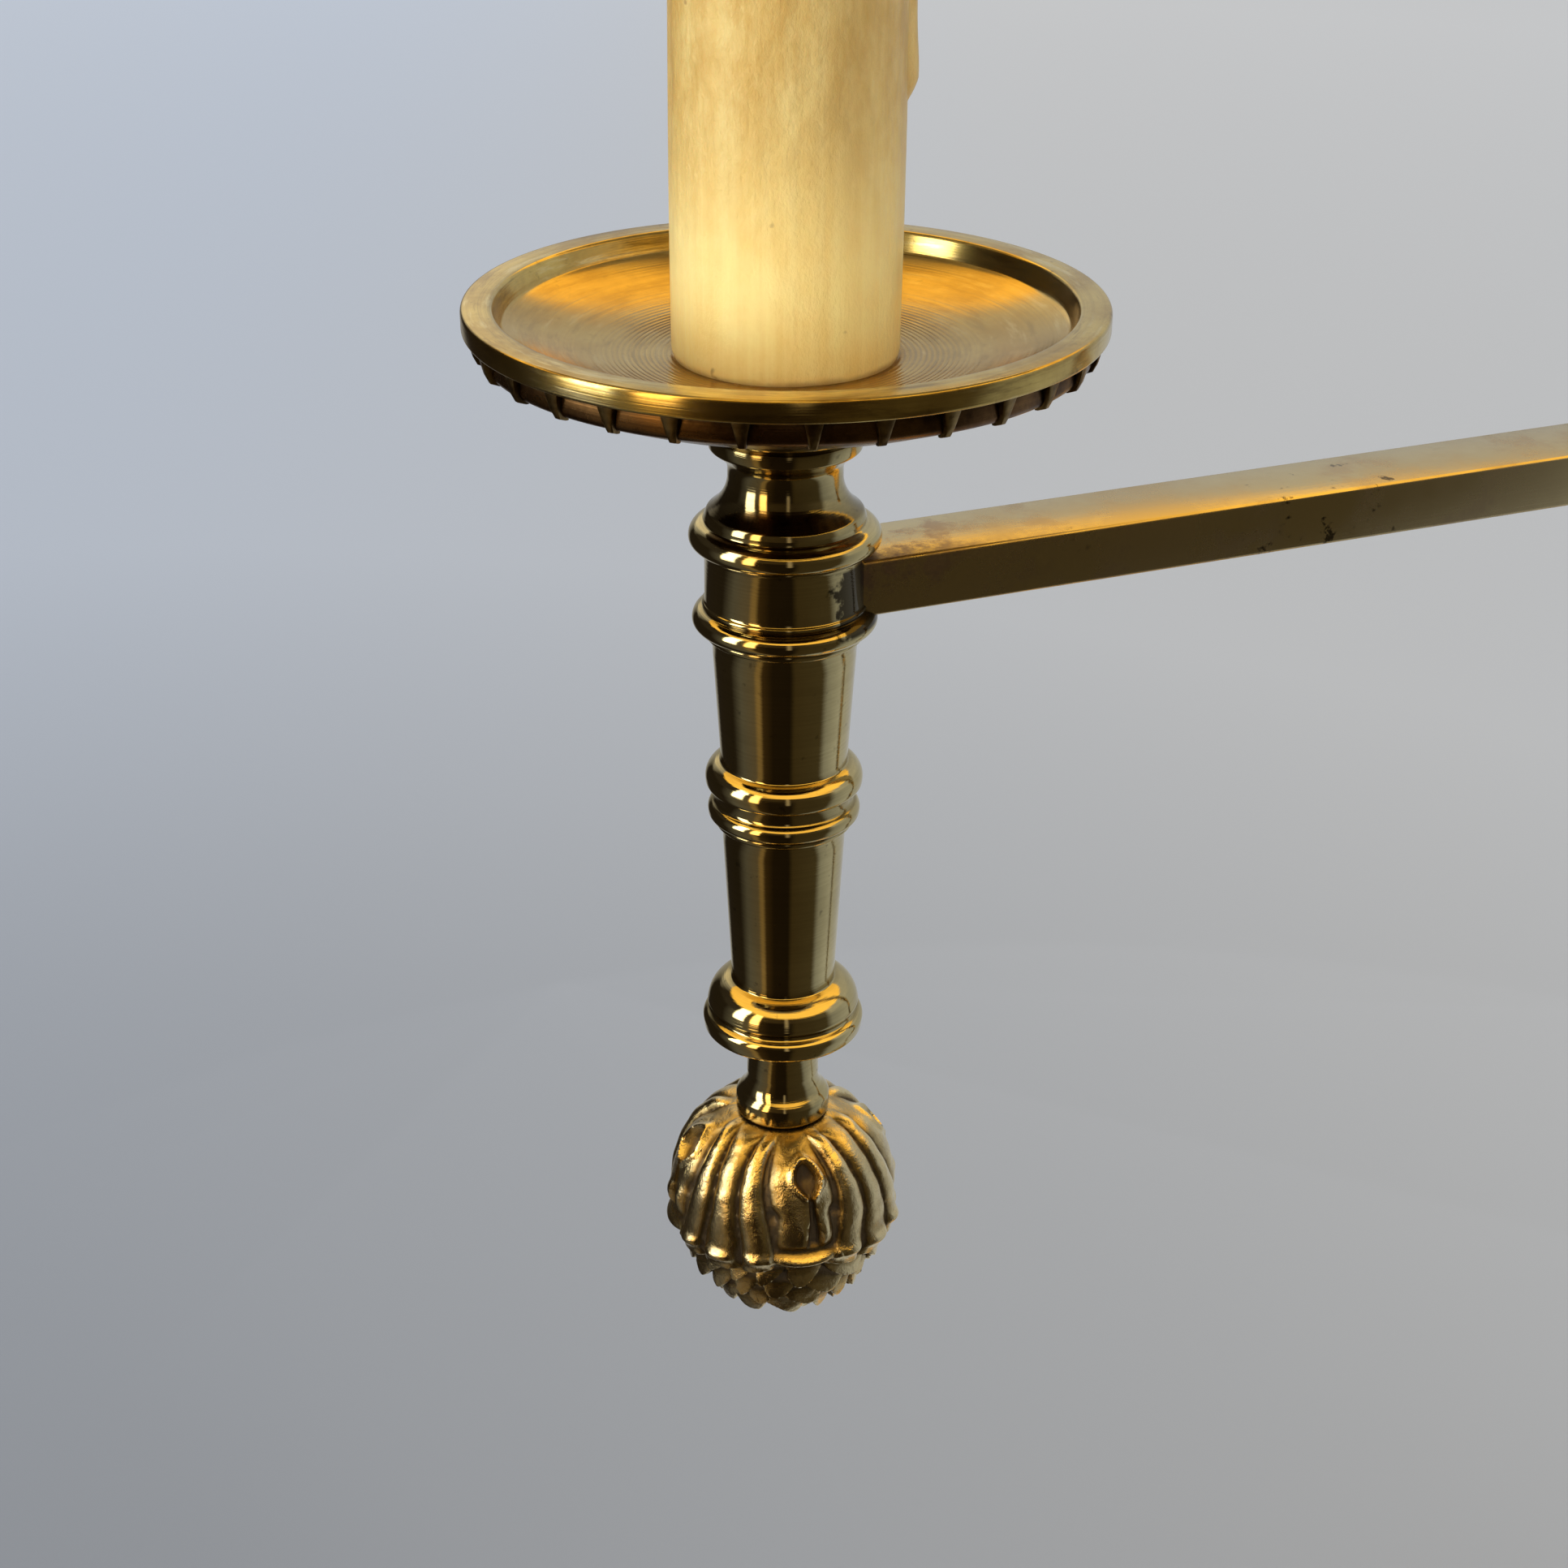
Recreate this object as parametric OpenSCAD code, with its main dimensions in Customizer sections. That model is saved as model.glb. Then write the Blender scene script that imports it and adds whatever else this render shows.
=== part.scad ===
/* [Arm] */
// Distance from the pole axis to the candle column axis
arm_reach = 200; // [150:1:240]
// Height of the arm's centre line above the table
arm_z = 330; // [325:1:380]
// Width of the arm bar
bar_w = 11.5; // [9:0.5:13]
// Height of the arm bar
bar_h = 7; // [6:0.5:8]
// Wall of the hollow arm bar
bar_wall = 1.8; // [1.2:0.1:2.4]

/* [Candle and drip pan] */
// Outer radius of the candle sleeve
candle_r = 13.1; // [12.8:0.1:14]
// Length of the candle sleeve
candle_len = 85; // [75:1:100]
// Wall of the candle sleeve
candle_wall = 0.9; // [0.6:0.1:1.1]
// Outer radius of the drip pan
pan_r = 36.5; // [34:0.5:45]
// Width of the flat rim of the drip pan
pan_rim_w = 3.5; // [2.5:0.1:5]
// Height of the band around the drip pan
pan_band_h = 2.6; // [2:0.1:3.2]
// Depth of the dish below its rim
pan_depth = 6.2; // [5.5:0.1:7]
// Height of the drip pan from its seat to its rim
pan_h = 13; // [12:0.5:18]
// Number of flutes under the drip pan
flute_count = 30; // [24:1:36]

/* [Candle column] */
// Radius of the plain collar that takes the arm
collar_r = 9.5; // [9:0.1:11]
// Height of the collar piece with its two beads
collar_h = 17.3; // [16:0.1:20]
// How far the upper bead stands out of the collar
upper_bead_out = 1.9; // [1:0.1:2.5]
// How far the lower bead stands out of the collar
lower_bead_out = 1.5; // [1:0.1:2.5]
// Height of the waisted neck under the drip pan
neck_h = 12.6; // [11:0.1:16]
// Radius of the neck at its waist
neck_waist_r = 6.7; // [6.3:0.1:7.5]
// Radius of the flange at the top of the neck
neck_flange_r = 9.2; // [8.5:0.1:11]
// Height of the upper stem
stem_upper_h = 13.6; // [10:0.1:30]
// Radius of the upper stem at its top
stem_upper_r = 8.5; // [7.9:0.1:9]
// Height of the pair of middle rings
mid_rings_h = 11.1; // [10.5:0.1:14]
// Radius of the larger middle ring
mid_ring_r = 9.6; // [9:0.1:12]
// Height of the lower stem
stem_lower_h = 18.9; // [12:0.1:40]
// Radius of the lower stem at its bottom
stem_lower_r = 6.5; // [6:0.1:7.2]
// Height of the lower ring piece
lower_ring_h = 14.9; // [14:0.1:18]
// Radius of the disc on the lower ring piece
lower_disc_r = 10.2; // [9.8:0.1:12]
// Height of the spool above the finial
spool_h = 5.7; // [5:0.1:10]
// Radius of the spool at its waist
spool_waist_r = 4.6; // [4.2:0.1:5.5]
// Height of the pine cone finial
finial_h = 30.4; // [29:0.1:34]
// Radius of the ball of the finial
finial_r = 15.5; // [15:0.1:17]

/* [Pole] */
// Height of the top of the fixed pole tube
pole_top = 200; // [180:1:210]
// Outer radius of the fixed pole tube
pole_r = 9; // [8.8:0.1:10]
// Outer radius of the sliding riser tube
riser_r = 7; // [6.5:0.1:7.2]
// Length of riser inside the pole at rest
riser_insert = 100; // [90:1:110]
// Radius of the hub at the pole end of the arm
hub_r = 12; // [11.5:0.1:14]
// Height of the hub
hub_h = 17.3; // [16:0.1:22]
// Half of the angle through which the arm swings
swing_half = 150; // [90:1:155]
// Radius of the clamp collar
clamp_r = 13; // [12:0.1:16]
// Height of the clamp collar
clamp_h = 26; // [24:0.5:32]

/* [Base] */
// Radius of the base
base_r = 80; // [75:1:100]
// Height of the upright band around the base
base_band_h = 12; // [12:0.5:14]
// Wall of the base shell
base_wall = 1.6; // [1.2:0.1:2]
// Radius of the boss that carries the pole
boss_r = 18; // [17:0.5:22]
// Thickness of the felt under the base
felt_t = 2; // [1:0.1:2.5]
// Distance of the switch from the edge of the base
switch_inset = 25; // [22:1:28]
// Radius of the switch button
button_r = 5; // [4:0.1:5.5]
// Travel of the switch button
button_travel = 3; // [2:0.1:3.5]
// Radius of the hole in the cord inlet bush
cord_bore_r = 2.6; // [2:0.1:2.8]

/* [Shade] */
// Radius of the shade at its lower rim
shade_r = 75; // [72:1:90]
// Radius of the shade at its upper rim
shade_top_r = 45; // [44:1:55]
// Height of the shade
shade_h = 100; // [95:1:110]
// Wall of the shade
shade_wall = 0.8; // [0.6:0.1:1.2]
// How far the shade hangs below the top of the candle
shade_drop = 16; // [10:1:17]
// Radius of the glass bulb
bulb_r = 17.5; // [15:0.5:18]
// Height of the glass bulb
bulb_h = 66; // [60:1:68]

/* [Hidden] */
$fn = 96;
// Extra length of a cutting shape past the face that it cuts
cut = 1;
// Radial clearance of a thread or a pressed or glued joint
joint_gap = 0.05;
// Radial clearance of a sliding or turning fit
run_gap = 0.05;
// Play along the axis of the turning hub, at each face
hub_play = 0.1;
// How far the edge of a cap or a ring nut swells
edge_swell = 1;

// Threaded tubes and rods, and the free length left past the end of a thread
thread_room = 1;
nipple_r = 5;
nipple_bore_r = 3.4;
rod_r = 3;
wire_hole_r = 1.7;

// Heights of the candle column, measured from the arm's centre line
collar_top = collar_h / 2;
collar_bottom = -collar_h / 2;
neck_top = collar_top + neck_h;
rim_top = neck_top + pan_h;
dish_floor = rim_top - pan_depth;
stem_upper_bottom = collar_bottom - stem_upper_h;
mid_rings_bottom = stem_upper_bottom - mid_rings_h;
stem_lower_bottom = mid_rings_bottom - stem_lower_h;
lower_ring_bottom = stem_lower_bottom - lower_ring_h;
spool_bottom = lower_ring_bottom - spool_h;

// Collar and hub
bead_h = 5.6;
bead_edge = 0.4;
collar_lip_h = 1.4;
collar_lip_out = 0.9;
bar_seat = 6.2;
hub_bar_seat = 9.2;
wire_chamber_h = 6;
wire_chamber_r = 4;
bush_r = 7;
bush_h = (hub_h - wire_chamber_h) / 2;
stop_pin_r = 0.9;
stop_pin_at = 9.2;
stop_groove_w = 2.4;
stop_groove_h = 3;
stop_pin_rise = 2.4;
stop_pin_sunk = 4;
stop_spare = 8;

// Neck
neck_cove_r = 3.1;
neck_cove_z = 4.9;
neck_foot_r = 9.9;
neck_foot_h = 1;

// Drip pan
dish_flat_r = 14;
dish_wall_draft = 0.9;
dish_wall_r = pan_r - pan_rim_w - dish_wall_draft;
dish_wall_h = 2.4;
dish_rise = pan_depth - dish_wall_h;
dish_run = dish_wall_r - dish_flat_r;
dish_curve_r = (dish_run * dish_run + dish_rise * dish_rise) / (2 * dish_rise);
pan_skirt_in = 0.9;
pan_skirt_h = 2;
pan_seat_lip = 0.3;
pan_seat_r = neck_flange_r + pan_seat_lip;
dish_floor_t = 1.6;
dish_foot_out = 4;
dish_foot_r = dish_flat_r + dish_foot_out;
dish_spigot_in = 2;
dish_spigot_h = 1.2;
flute_depth = 1;
rib_w = 1.2;
rib_set_back = 2;
rib_inner_r = neck_flange_r + rib_set_back;
rib_inner_h = 0.4;

// Stems and rings
stem_taper = 0.06;
stem_upper_end_r = stem_upper_r - stem_taper * stem_upper_h;
stem_lower_start_r = stem_lower_r + stem_taper * stem_lower_h;
mid_core_r = 7.6;
mid_ring_h = 5.2;
mid_ring_z = 2.9;
mid_ring_small_h = 4.4;
mid_ring_small_z = 7.7;
mid_ring_step = 0.3;
lower_torus_r = 9.5;
lower_torus_h = 6.4;
lower_torus_z = 3.4;
lower_disc_z = 7.4;
lower_disc_h = 2.2;
lower_bowl_r = 5.8;
lower_bowl_z = 8.4;
spool_foot_r = 6;
spool_foot_h = 1.2;
spool_cove_r = ((spool_h - spool_foot_h) ^ 2 + (spool_foot_r - spool_waist_r) ^ 2)
    / (2 * (spool_foot_r - spool_waist_r));

// Finial
finial_ball_z = 12.4;
finial_lip_out = 0.6;
finial_lip_h = 3.4;
finial_lip_z = 16.8;
finial_step = 1;
finial_cone_r = finial_r - finial_step;
finial_bore_h = 10;
rod_top = -wire_chamber_h / 2 - thread_room;
rod_bottom = spool_bottom - finial_bore_h + thread_room;

// Candle, lampholder and bulb
candle_top = dish_floor + candle_len;
holder_room = 0.4;
holder_r = candle_r - candle_wall - holder_room;
holder_neck_r = 9.5;
holder_h = 42;
holder_neck_h = 5;
holder_rise = 7;
holder_top = candle_top + holder_rise;
holder_bottom = candle_top - holder_h;
holder_thread_h = 8;
socket_r = 7.6;
socket_depth = 32;
socket_wall = 0.5;
socket_inset = 1;
nipple_bottom = wire_chamber_h / 2;
nipple_top = holder_bottom + holder_thread_h;
cap_r = 6.9;
cap_h = 27;
cap_wall = 0.6;
cap_rise = 1;
cap_top = holder_top + cap_rise;
contact_r = 2;
contact_h = 2.5;
glass_t = 0.8;
glass_neck_r = cap_r - cap_wall - joint_gap;
glass_neck_h = 6;
glass_tip_r = 3;
filament_rise = 14;
bulb_z = cap_top;
bulb_belly_h = 27.7;
filament_r = 0.8;
filament_at = 5;
filament_count = 4;
filament_h = 30;
filament_stem_r = 2.2;
filament_disc_h = 1.2;
filament_disc_edge = 0.6;
filament_z = bulb_z + filament_rise;

// Shade and its bracket
bracket_t = 1.6;
bracket_w = 8;
bracket_ring_r = candle_r;
bracket_nut_r = 12.6;
bracket_nut_h = 3.6;
shade_z = candle_top - shade_drop;
shade_slope = (shade_r - shade_top_r) / shade_h;
pivot_rise = 46;
pivot_z = shade_z + pivot_rise;
pivot_wall_r = shade_r - shade_slope * pivot_rise;
pivot_r = 2;
pivot_bush_r = 4.6;
pivot_bush_in = 3.4;
pivot_bush_out = 2;
pivot_gap = 0.3;
pivot_head_r = 4.4;
pivot_head_h = 3;
pivot_tail = 1;
leg_face = pivot_wall_r - pivot_bush_in - pivot_gap;
leg_head = 5;
rim_wire_r = 1.7;

// Pole, riser and clamp
slide_room = 0.6;
pole_bore_r = riser_r + slide_room;
slider_r = pole_bore_r - run_gap;
slider_h = 12;
riser_bottom = pole_top - riser_insert;
foot_h = 26;
foot_floor_h = 8;
foot_wall = 3;
foot_rim_r = pole_r + foot_wall;
foot_bead_h = 7;
base_round = 6;
base_flat_z = base_band_h + base_round;
base_cove_r = 12;
base_top = base_flat_z + base_cove_r;
pole_bottom = base_top + foot_floor_h;
hub_bottom_z = arm_z - hub_h / 2;
hub_top_z = arm_z + hub_h / 2;
seat_h = 18;
seat_top_z = hub_bottom_z - hub_play;
seat_bottom_z = seat_top_z - seat_h;
seat_socket_h = 10;
seat_head_floor = 1;
seat_head_h = stop_pin_sunk + seat_head_floor;
seat_r = hub_r;
seat_wall = 2;
seat_core_r = riser_r + seat_wall;
riser_top = seat_bottom_z + seat_socket_h;
spigot_grip = 24;
spigot_bottom = riser_top - spigot_grip;
hub_cap_h = 6;
hub_cap_bottom = hub_top_z + hub_play;
hub_cap_top = hub_cap_bottom + hub_cap_h;
hub_cap_r = 10;
stud_grip = 8;
clamp_bottom = pole_top - clamp_h / 2;
clamp_top = clamp_bottom + clamp_h;
clamp_bead_h = 6;
clamp_bead_out = 1.4;
clamp_lip_h = 2;
screw_z = pole_top + clamp_h / 4;
screw_r = 2.5;
screw_neck_r = 4;
screw_neck_h = 5;
screw_key_r = 8;
screw_key_t = 3.2;
screw_key_sunk = 1;

// Base fillings
felt_proud = 0.5;
weight_room = 0.6;
weight_r = base_r - base_round - weight_room;
weight_top = base_flat_z - base_wall;
nut_recess_r = 14;
nut_recess_h = 7;
washer_r = 12;
washer_t = 1.5;
nut_r = 8;
nut_h = 4.4;
nut_sides = 6;
wire_slot_w = 6;
wire_slot_h = 6;
switch_offset = base_r - switch_inset;
switch_wall = 2;
switch_flange = 1.5;
switch_neck_r = button_r + switch_wall;
switch_body_r = switch_neck_r + switch_flange;
switch_body_h = 12;
switch_neck_h = 3;
bezel_w = 3;
bezel_land = 1;
bezel_r = switch_neck_r + bezel_w;
button_rise = 3.6;
button_crown = 1;
button_h = 11;
button_top = base_flat_z + switch_neck_h + button_rise;
button_bottom = button_top - button_h;
switch_room = 0.5;
switch_hole_r = switch_body_r + switch_room;
bush_flange_r = 4.6;
bush_body_r = 3.8;
bush_flange_h = 2;
bush_tail = 4;
bush_z = base_band_h - bush_flange_r;

brass = [0.66, 0.5, 0.22];
dark_brass = [0.5, 0.37, 0.16];
steel = [0.6, 0.6, 0.6];
iron = [0.25, 0.25, 0.26];
cream = [0.93, 0.8, 0.52];
lacquer = [0.07, 0.17, 0.12];
felt_green = [0.12, 0.2, 0.14];
black = [0.06, 0.06, 0.06];
white = [0.92, 0.92, 0.9];
clear = [0.9, 0.95, 1, 0.35];

// Puts a piece on the candle column, with its height measured from the arm's centre line
module on_column(z = 0) {
    translate([-arm_reach, 0, arm_z + z]) children();
}

// Turns a half profile about the upright axis
module turned() {
    rotate_extrude() children();
}

// Round moulding of a half profile, standing out of a core of radius core_r
module bead(r, core_r, h, z) {
    out = r - core_r;
    arc_r = (h * h / 4 + out * out) / (2 * out);
    intersection() {
        translate([r - arc_r, z]) circle(arc_r);
        translate([0, z - h / 2]) square([r, h]);
    }
}

// Rectangle of a half profile, from the axis to radius r
module core(r, z, h) {
    translate([0, z]) square([r, h]);
}

// Upright hole through a piece
module hole(r, z, h) {
    translate([0, 0, z]) cylinder(r = r, h = h);
}

// Straight bar along X between two places, centred on the arm
module bar_block(x_from, x_to, w, h) {
    translate([x_from, -w / 2, -h / 2]) cube([x_to - x_from, w, h]);
}

// Hole along X at the arm's centre line
module cross_hole(r, x_from, x_to) {
    translate([x_from, 0, 0]) rotate([0, 90, 0]) cylinder(r = r, h = x_to - x_from);
}

module base_felt() {
    color(felt_green) cylinder(r = base_r - base_wall - joint_gap, h = felt_t);
}

module base_weight() {
    color(iron) difference() {
        hole(weight_r, felt_t, weight_top - felt_t);
        hole(nipple_r + joint_gap, 0, base_top);
        hole(nut_recess_r, 0, felt_t + nut_recess_h);
        translate([0, -switch_offset, 0]) hole(switch_hole_r, 0, base_top);
        translate([-wire_slot_w / 2, -switch_offset, 0])
            cube([wire_slot_w, switch_offset + base_r, felt_t + wire_slot_h]);
    }
}

module base_profile() {
    core(base_r, felt_proud, base_band_h - felt_proud);
    core(base_r - base_round, felt_proud, base_flat_z - felt_proud);
    translate([base_r - base_round, base_band_h]) circle(base_round);
    difference() {
        core(boss_r + base_cove_r, base_band_h, base_top - base_band_h);
        translate([boss_r + base_cove_r, base_top]) circle(base_cove_r);
    }
}

module base_hollow_profile() {
    core(base_r - base_wall, 0, base_band_h);
    core(base_r - base_round, 0, base_flat_z - base_wall);
}

module base_shell() {
    color(brass) difference() {
        turned() base_profile();
        turned() base_hollow_profile();
        hole(nipple_r + joint_gap, 0, base_top + cut);
        translate([0, -switch_offset, 0]) hole(switch_neck_r + joint_gap, 0, base_top);
        translate([0, 0, bush_z]) rotate([-90, 0, 0])
            cylinder(r = bush_body_r + joint_gap, h = base_r + cut);
    }
}

module foot_washer() {
    z = felt_t + nut_recess_h - washer_t;
    color(steel) difference() {
        hole(washer_r, z, washer_t);
        hole(nipple_r + joint_gap, 0, base_top);
    }
}

module foot_nut() {
    z = felt_t + nut_recess_h - washer_t - nut_h;
    color(steel) difference() {
        translate([0, 0, z]) cylinder(r = nut_r, h = nut_h, $fn = nut_sides);
        hole(nipple_r + joint_gap, 0, base_top);
    }
}

module foot_rod() {
    z = felt_t + nut_recess_h - washer_t - nut_h;
    color(steel) difference() {
        hole(nipple_r, z, pole_bottom - thread_room - z);
        hole(nipple_bore_r, 0, pole_bottom);
    }
}

module pole_foot() {
    top = base_top + foot_h;
    color(brass) difference() {
        turned() {
            core(foot_rim_r, base_top, foot_h);
            bead(boss_r, foot_rim_r, foot_bead_h, base_top + foot_bead_h / 2);
            bead(foot_rim_r + clamp_bead_out, pole_r, clamp_bead_h, top - clamp_bead_h / 2);
        }
        hole(pole_r + joint_gap, pole_bottom, foot_h);
        hole(nipple_r + joint_gap, base_top - cut, foot_h);
    }
}

module pole_tube() {
    color(brass) difference() {
        hole(pole_r, pole_bottom, pole_top - pole_bottom);
        hole(pole_bore_r, pole_bottom - cut, pole_top);
    }
}

module clamp_collar() {
    color(brass) difference() {
        turned() {
            core(clamp_r, clamp_bottom, clamp_h);
            bead(clamp_r + clamp_bead_out, clamp_r, clamp_bead_h, clamp_bottom + clamp_bead_h / 2);
            bead(clamp_r + clamp_bead_out, clamp_r, clamp_lip_h, clamp_top - clamp_lip_h / 2);
        }
        hole(pole_r + joint_gap, clamp_bottom - cut, pole_top - clamp_bottom + cut);
        hole(riser_r + run_gap, clamp_bottom, clamp_h + cut);
        translate([0, 0, screw_z]) cross_hole(screw_r + run_gap, 0, clamp_r + cut);
    }
}

module thumbscrew() {
    tip = riser_r + run_gap;
    neck_at = clamp_r + pivot_gap;
    key_at = neck_at + screw_neck_h + screw_key_r - screw_key_sunk;
    color(brass) translate([0, 0, screw_z]) {
        cross_hole(screw_r, tip, key_at);
        cross_hole(screw_neck_r, neck_at, neck_at + screw_neck_h);
        translate([key_at, 0, 0]) rotate([90, 0, 0])
            cylinder(r = screw_key_r, h = screw_key_t, center = true);
    }
}

module cord_bush() {
    color(black) translate([0, 0, bush_z]) rotate([-90, 0, 0]) difference() {
        union() {
            hole(bush_flange_r, base_r, bush_flange_h);
            hole(bush_body_r, base_r - base_wall - bush_tail, base_wall + bush_tail);
        }
        hole(cord_bore_r, 0, base_r + bush_flange_h + cut);
    }
}

module switch_body() {
    top = base_flat_z - base_wall;
    color(black) translate([0, -switch_offset, 0]) difference() {
        union() {
            hole(switch_body_r, top - switch_body_h, switch_body_h);
            hole(switch_neck_r, top, base_wall + switch_neck_h);
        }
        hole(button_r + run_gap, button_bottom - button_travel - cut, base_top);
    }
}

module switch_bezel() {
    color(brass) translate([0, -switch_offset, 0]) difference() {
        turned() {
            core(switch_neck_r + bezel_land, base_flat_z, switch_neck_h);
            bead(bezel_r, switch_neck_r, 2 * switch_neck_h, base_flat_z);
        }
        hole(switch_neck_r + joint_gap, base_flat_z - cut, base_top);
        hole(bezel_r + cut, base_flat_z - 2 * switch_neck_h, 2 * switch_neck_h);
    }
}

module switch_button() {
    color(black) translate([0, -switch_offset, 0]) {
        hole(button_r, button_bottom, button_h - button_crown);
        turned() bead(button_r, button_r - button_crown, 2 * button_crown, button_top - button_crown);
    }
}

module riser_tube() {
    color(brass) difference() {
        hole(riser_r, riser_bottom, riser_top - riser_bottom);
        hole(nipple_r + joint_gap, riser_bottom - cut, riser_top);
    }
}

module riser_slider() {
    color(white) difference() {
        hole(slider_r, riser_bottom - slider_h / 2, slider_h);
        hole(riser_r + joint_gap, riser_bottom, slider_h);
        hole(nipple_r, riser_bottom - slider_h, slider_h);
    }
}

module hub_seat() {
    color(brass) difference() {
        turned() {
            core(seat_core_r, seat_bottom_z, seat_h);
            core(seat_r, seat_top_z - seat_head_h, seat_head_h);
            bead(seat_r, seat_core_r, bead_h, seat_bottom_z + bead_h / 2);
        }
        hole(riser_r + joint_gap, seat_bottom_z - cut, seat_socket_h + cut);
        hole(nipple_r + joint_gap, seat_bottom_z, seat_h + cut);
        translate([stop_pin_at, 0, 0]) hole(stop_pin_r + joint_gap, seat_top_z - stop_pin_sunk, seat_h);
    }
}

module swing_stop_pin() {
    color(steel) translate([stop_pin_at, 0, 0])
        hole(stop_pin_r, seat_top_z - stop_pin_sunk, stop_pin_sunk + stop_pin_rise);
}

module hub_spigot() {
    color(steel) difference() {
        hole(nipple_r, spigot_bottom, hub_cap_top - spigot_bottom);
        hole(nipple_bore_r, spigot_bottom - cut, arm_z + wire_chamber_h / 2 - spigot_bottom + cut);
        hole(rod_r + joint_gap, arm_z, hub_cap_top);
        translate([0, 0, arm_z]) cross_hole(wire_hole_r, -nipple_r - cut, 0);
    }
}

module hub_cap() {
    color(brass) difference() {
        turned() {
            core(hub_cap_r - edge_swell, hub_cap_bottom, hub_cap_h);
            bead(hub_cap_r, hub_cap_r - edge_swell, hub_cap_h, hub_cap_bottom + hub_cap_h / 2);
        }
        hole(nipple_r + joint_gap, hub_cap_bottom - cut, hub_cap_h + 2 * cut);
    }
}

module finial_stud() {
    color(steel) hole(rod_r, hub_cap_top - stud_grip, stud_grip + spool_h + finial_bore_h - thread_room);
}

module pole_spool() {
    color(brass) translate([0, 0, hub_cap_top]) rotate([180, 0, 0]) spool_shape();
}

module pole_finial() {
    color(brass) translate([0, 0, hub_cap_top + spool_h]) rotate([180, 0, 0]) finial_shape();
}

// Collar with a bead above and below, a lip on top and a pocket for the arm bar
module bead_collar(r, h, seat) {
    difference() {
        turned() {
            core(r, -h / 2, h);
            core(r + collar_lip_out, h / 2 - collar_lip_h, collar_lip_h);
            bead(r + upper_bead_out, r, bead_h, h / 2 - collar_lip_h / 2 - bead_h / 2);
            bead(r + lower_bead_out, r, bead_h, bead_edge + bead_h / 2 - h / 2);
        }
        bar_block(seat, r + upper_bead_out + cut, bar_w + 2 * joint_gap, bar_h + 2 * joint_gap);
        cross_hole(wire_hole_r, 0, seat + cut);
    }
}

module arm_hub() {
    groove_half = swing_half + stop_spare;
    color(brass) translate([0, 0, arm_z]) difference() {
        rotate([0, 0, 180]) bead_collar(hub_r, hub_h, hub_bar_seat);
        hole(bush_r + joint_gap, -hub_h, 2 * hub_h);
        translate([0, 0, -hub_h / 2 - cut]) rotate([0, 0, -groove_half])
            rotate_extrude(angle = 2 * groove_half) translate([stop_pin_at - stop_groove_w / 2, 0])
                square([stop_groove_w, stop_groove_h + cut]);
    }
}

module hub_bushes() {
    color(dark_brass) translate([0, 0, arm_z]) for (z = [-hub_h / 2, hub_h / 2 - bush_h]) difference() {
        hole(bush_r, z, bush_h);
        hole(nipple_r + run_gap, z - cut, bush_h + 2 * cut);
    }
}

module arm_bar() {
    x_from = bar_seat - arm_reach + joint_gap;
    x_to = -hub_bar_seat - joint_gap;
    color(brass) translate([0, 0, arm_z]) difference() {
        bar_block(x_from, x_to, bar_w, bar_h);
        bar_block(x_from - cut, x_to + cut, bar_w - 2 * bar_wall, bar_h - 2 * bar_wall);
    }
}

module column_collar() {
    color(brass) on_column() difference() {
        bead_collar(collar_r, collar_h, bar_seat);
        hole(nipple_r + joint_gap, nipple_bottom, collar_h);
        hole(wire_chamber_r, -wire_chamber_h / 2, wire_chamber_h);
        hole(rod_r + joint_gap, -collar_h, collar_h);
    }
}

module column_neck() {
    color(brass) on_column(collar_top) difference() {
        turned() difference() {
            union() {
                core(neck_flange_r, 0, neck_h);
                core(neck_foot_r, 0, neck_foot_h);
            }
            translate([neck_waist_r + neck_cove_r, neck_cove_z]) circle(neck_cove_r);
        }
        hole(nipple_r + joint_gap, -cut, neck_h + 2 * cut);
    }
}

// Underside of the dish, let into the cup that carries it
module dish_underside(gap) {
    band_z = pan_h - pan_band_h;
    spigot_r = pan_r - pan_skirt_in - dish_spigot_in + gap;
    foot_z = pan_h - pan_depth - dish_floor_t;
    polygon([
        [0, foot_z],
        [dish_foot_r, foot_z],
        [spigot_r, band_z - dish_spigot_h - gap],
        [spigot_r, band_z],
        [0, band_z]
    ]);
}

module pan_profile() {
    core(pan_r, pan_h - pan_band_h, pan_band_h);
    dish_underside(0);
}

module dish_profile() {
    floor_z = pan_h - pan_depth;
    core(dish_flat_r, floor_z, pan_depth + cut);
    core(pan_r - pan_rim_w, pan_h - dish_wall_h / 2, dish_wall_h);
    intersection() {
        translate([dish_flat_r, floor_z + dish_curve_r]) circle(dish_curve_r);
        translate([dish_flat_r - cut, floor_z]) square([dish_run + cut, pan_depth + cut]);
    }
}

module drip_pan() {
    color(brass) on_column(neck_top) difference() {
        turned() difference() {
            pan_profile();
            dish_profile();
        }
        hole(nipple_r + joint_gap, -cut, pan_h);
    }
}

// One upright rib of the fluted cup, from its seat out to its edge
module cup_rib() {
    band_z = pan_h - pan_band_h;
    edge_r = pan_r - pan_skirt_in;
    translate([0, rib_w / 2, 0]) rotate([90, 0, 0]) linear_extrude(rib_w) polygon([
        [rib_inner_r, rib_inner_h],
        [edge_r, band_z - pan_skirt_h],
        [edge_r, band_z],
        [edge_r - dish_spigot_in + joint_gap, band_z],
        [edge_r - dish_spigot_in + joint_gap, band_z - dish_spigot_h],
        [rib_inner_r, rib_inner_h + flute_depth]
    ]);
}

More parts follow.
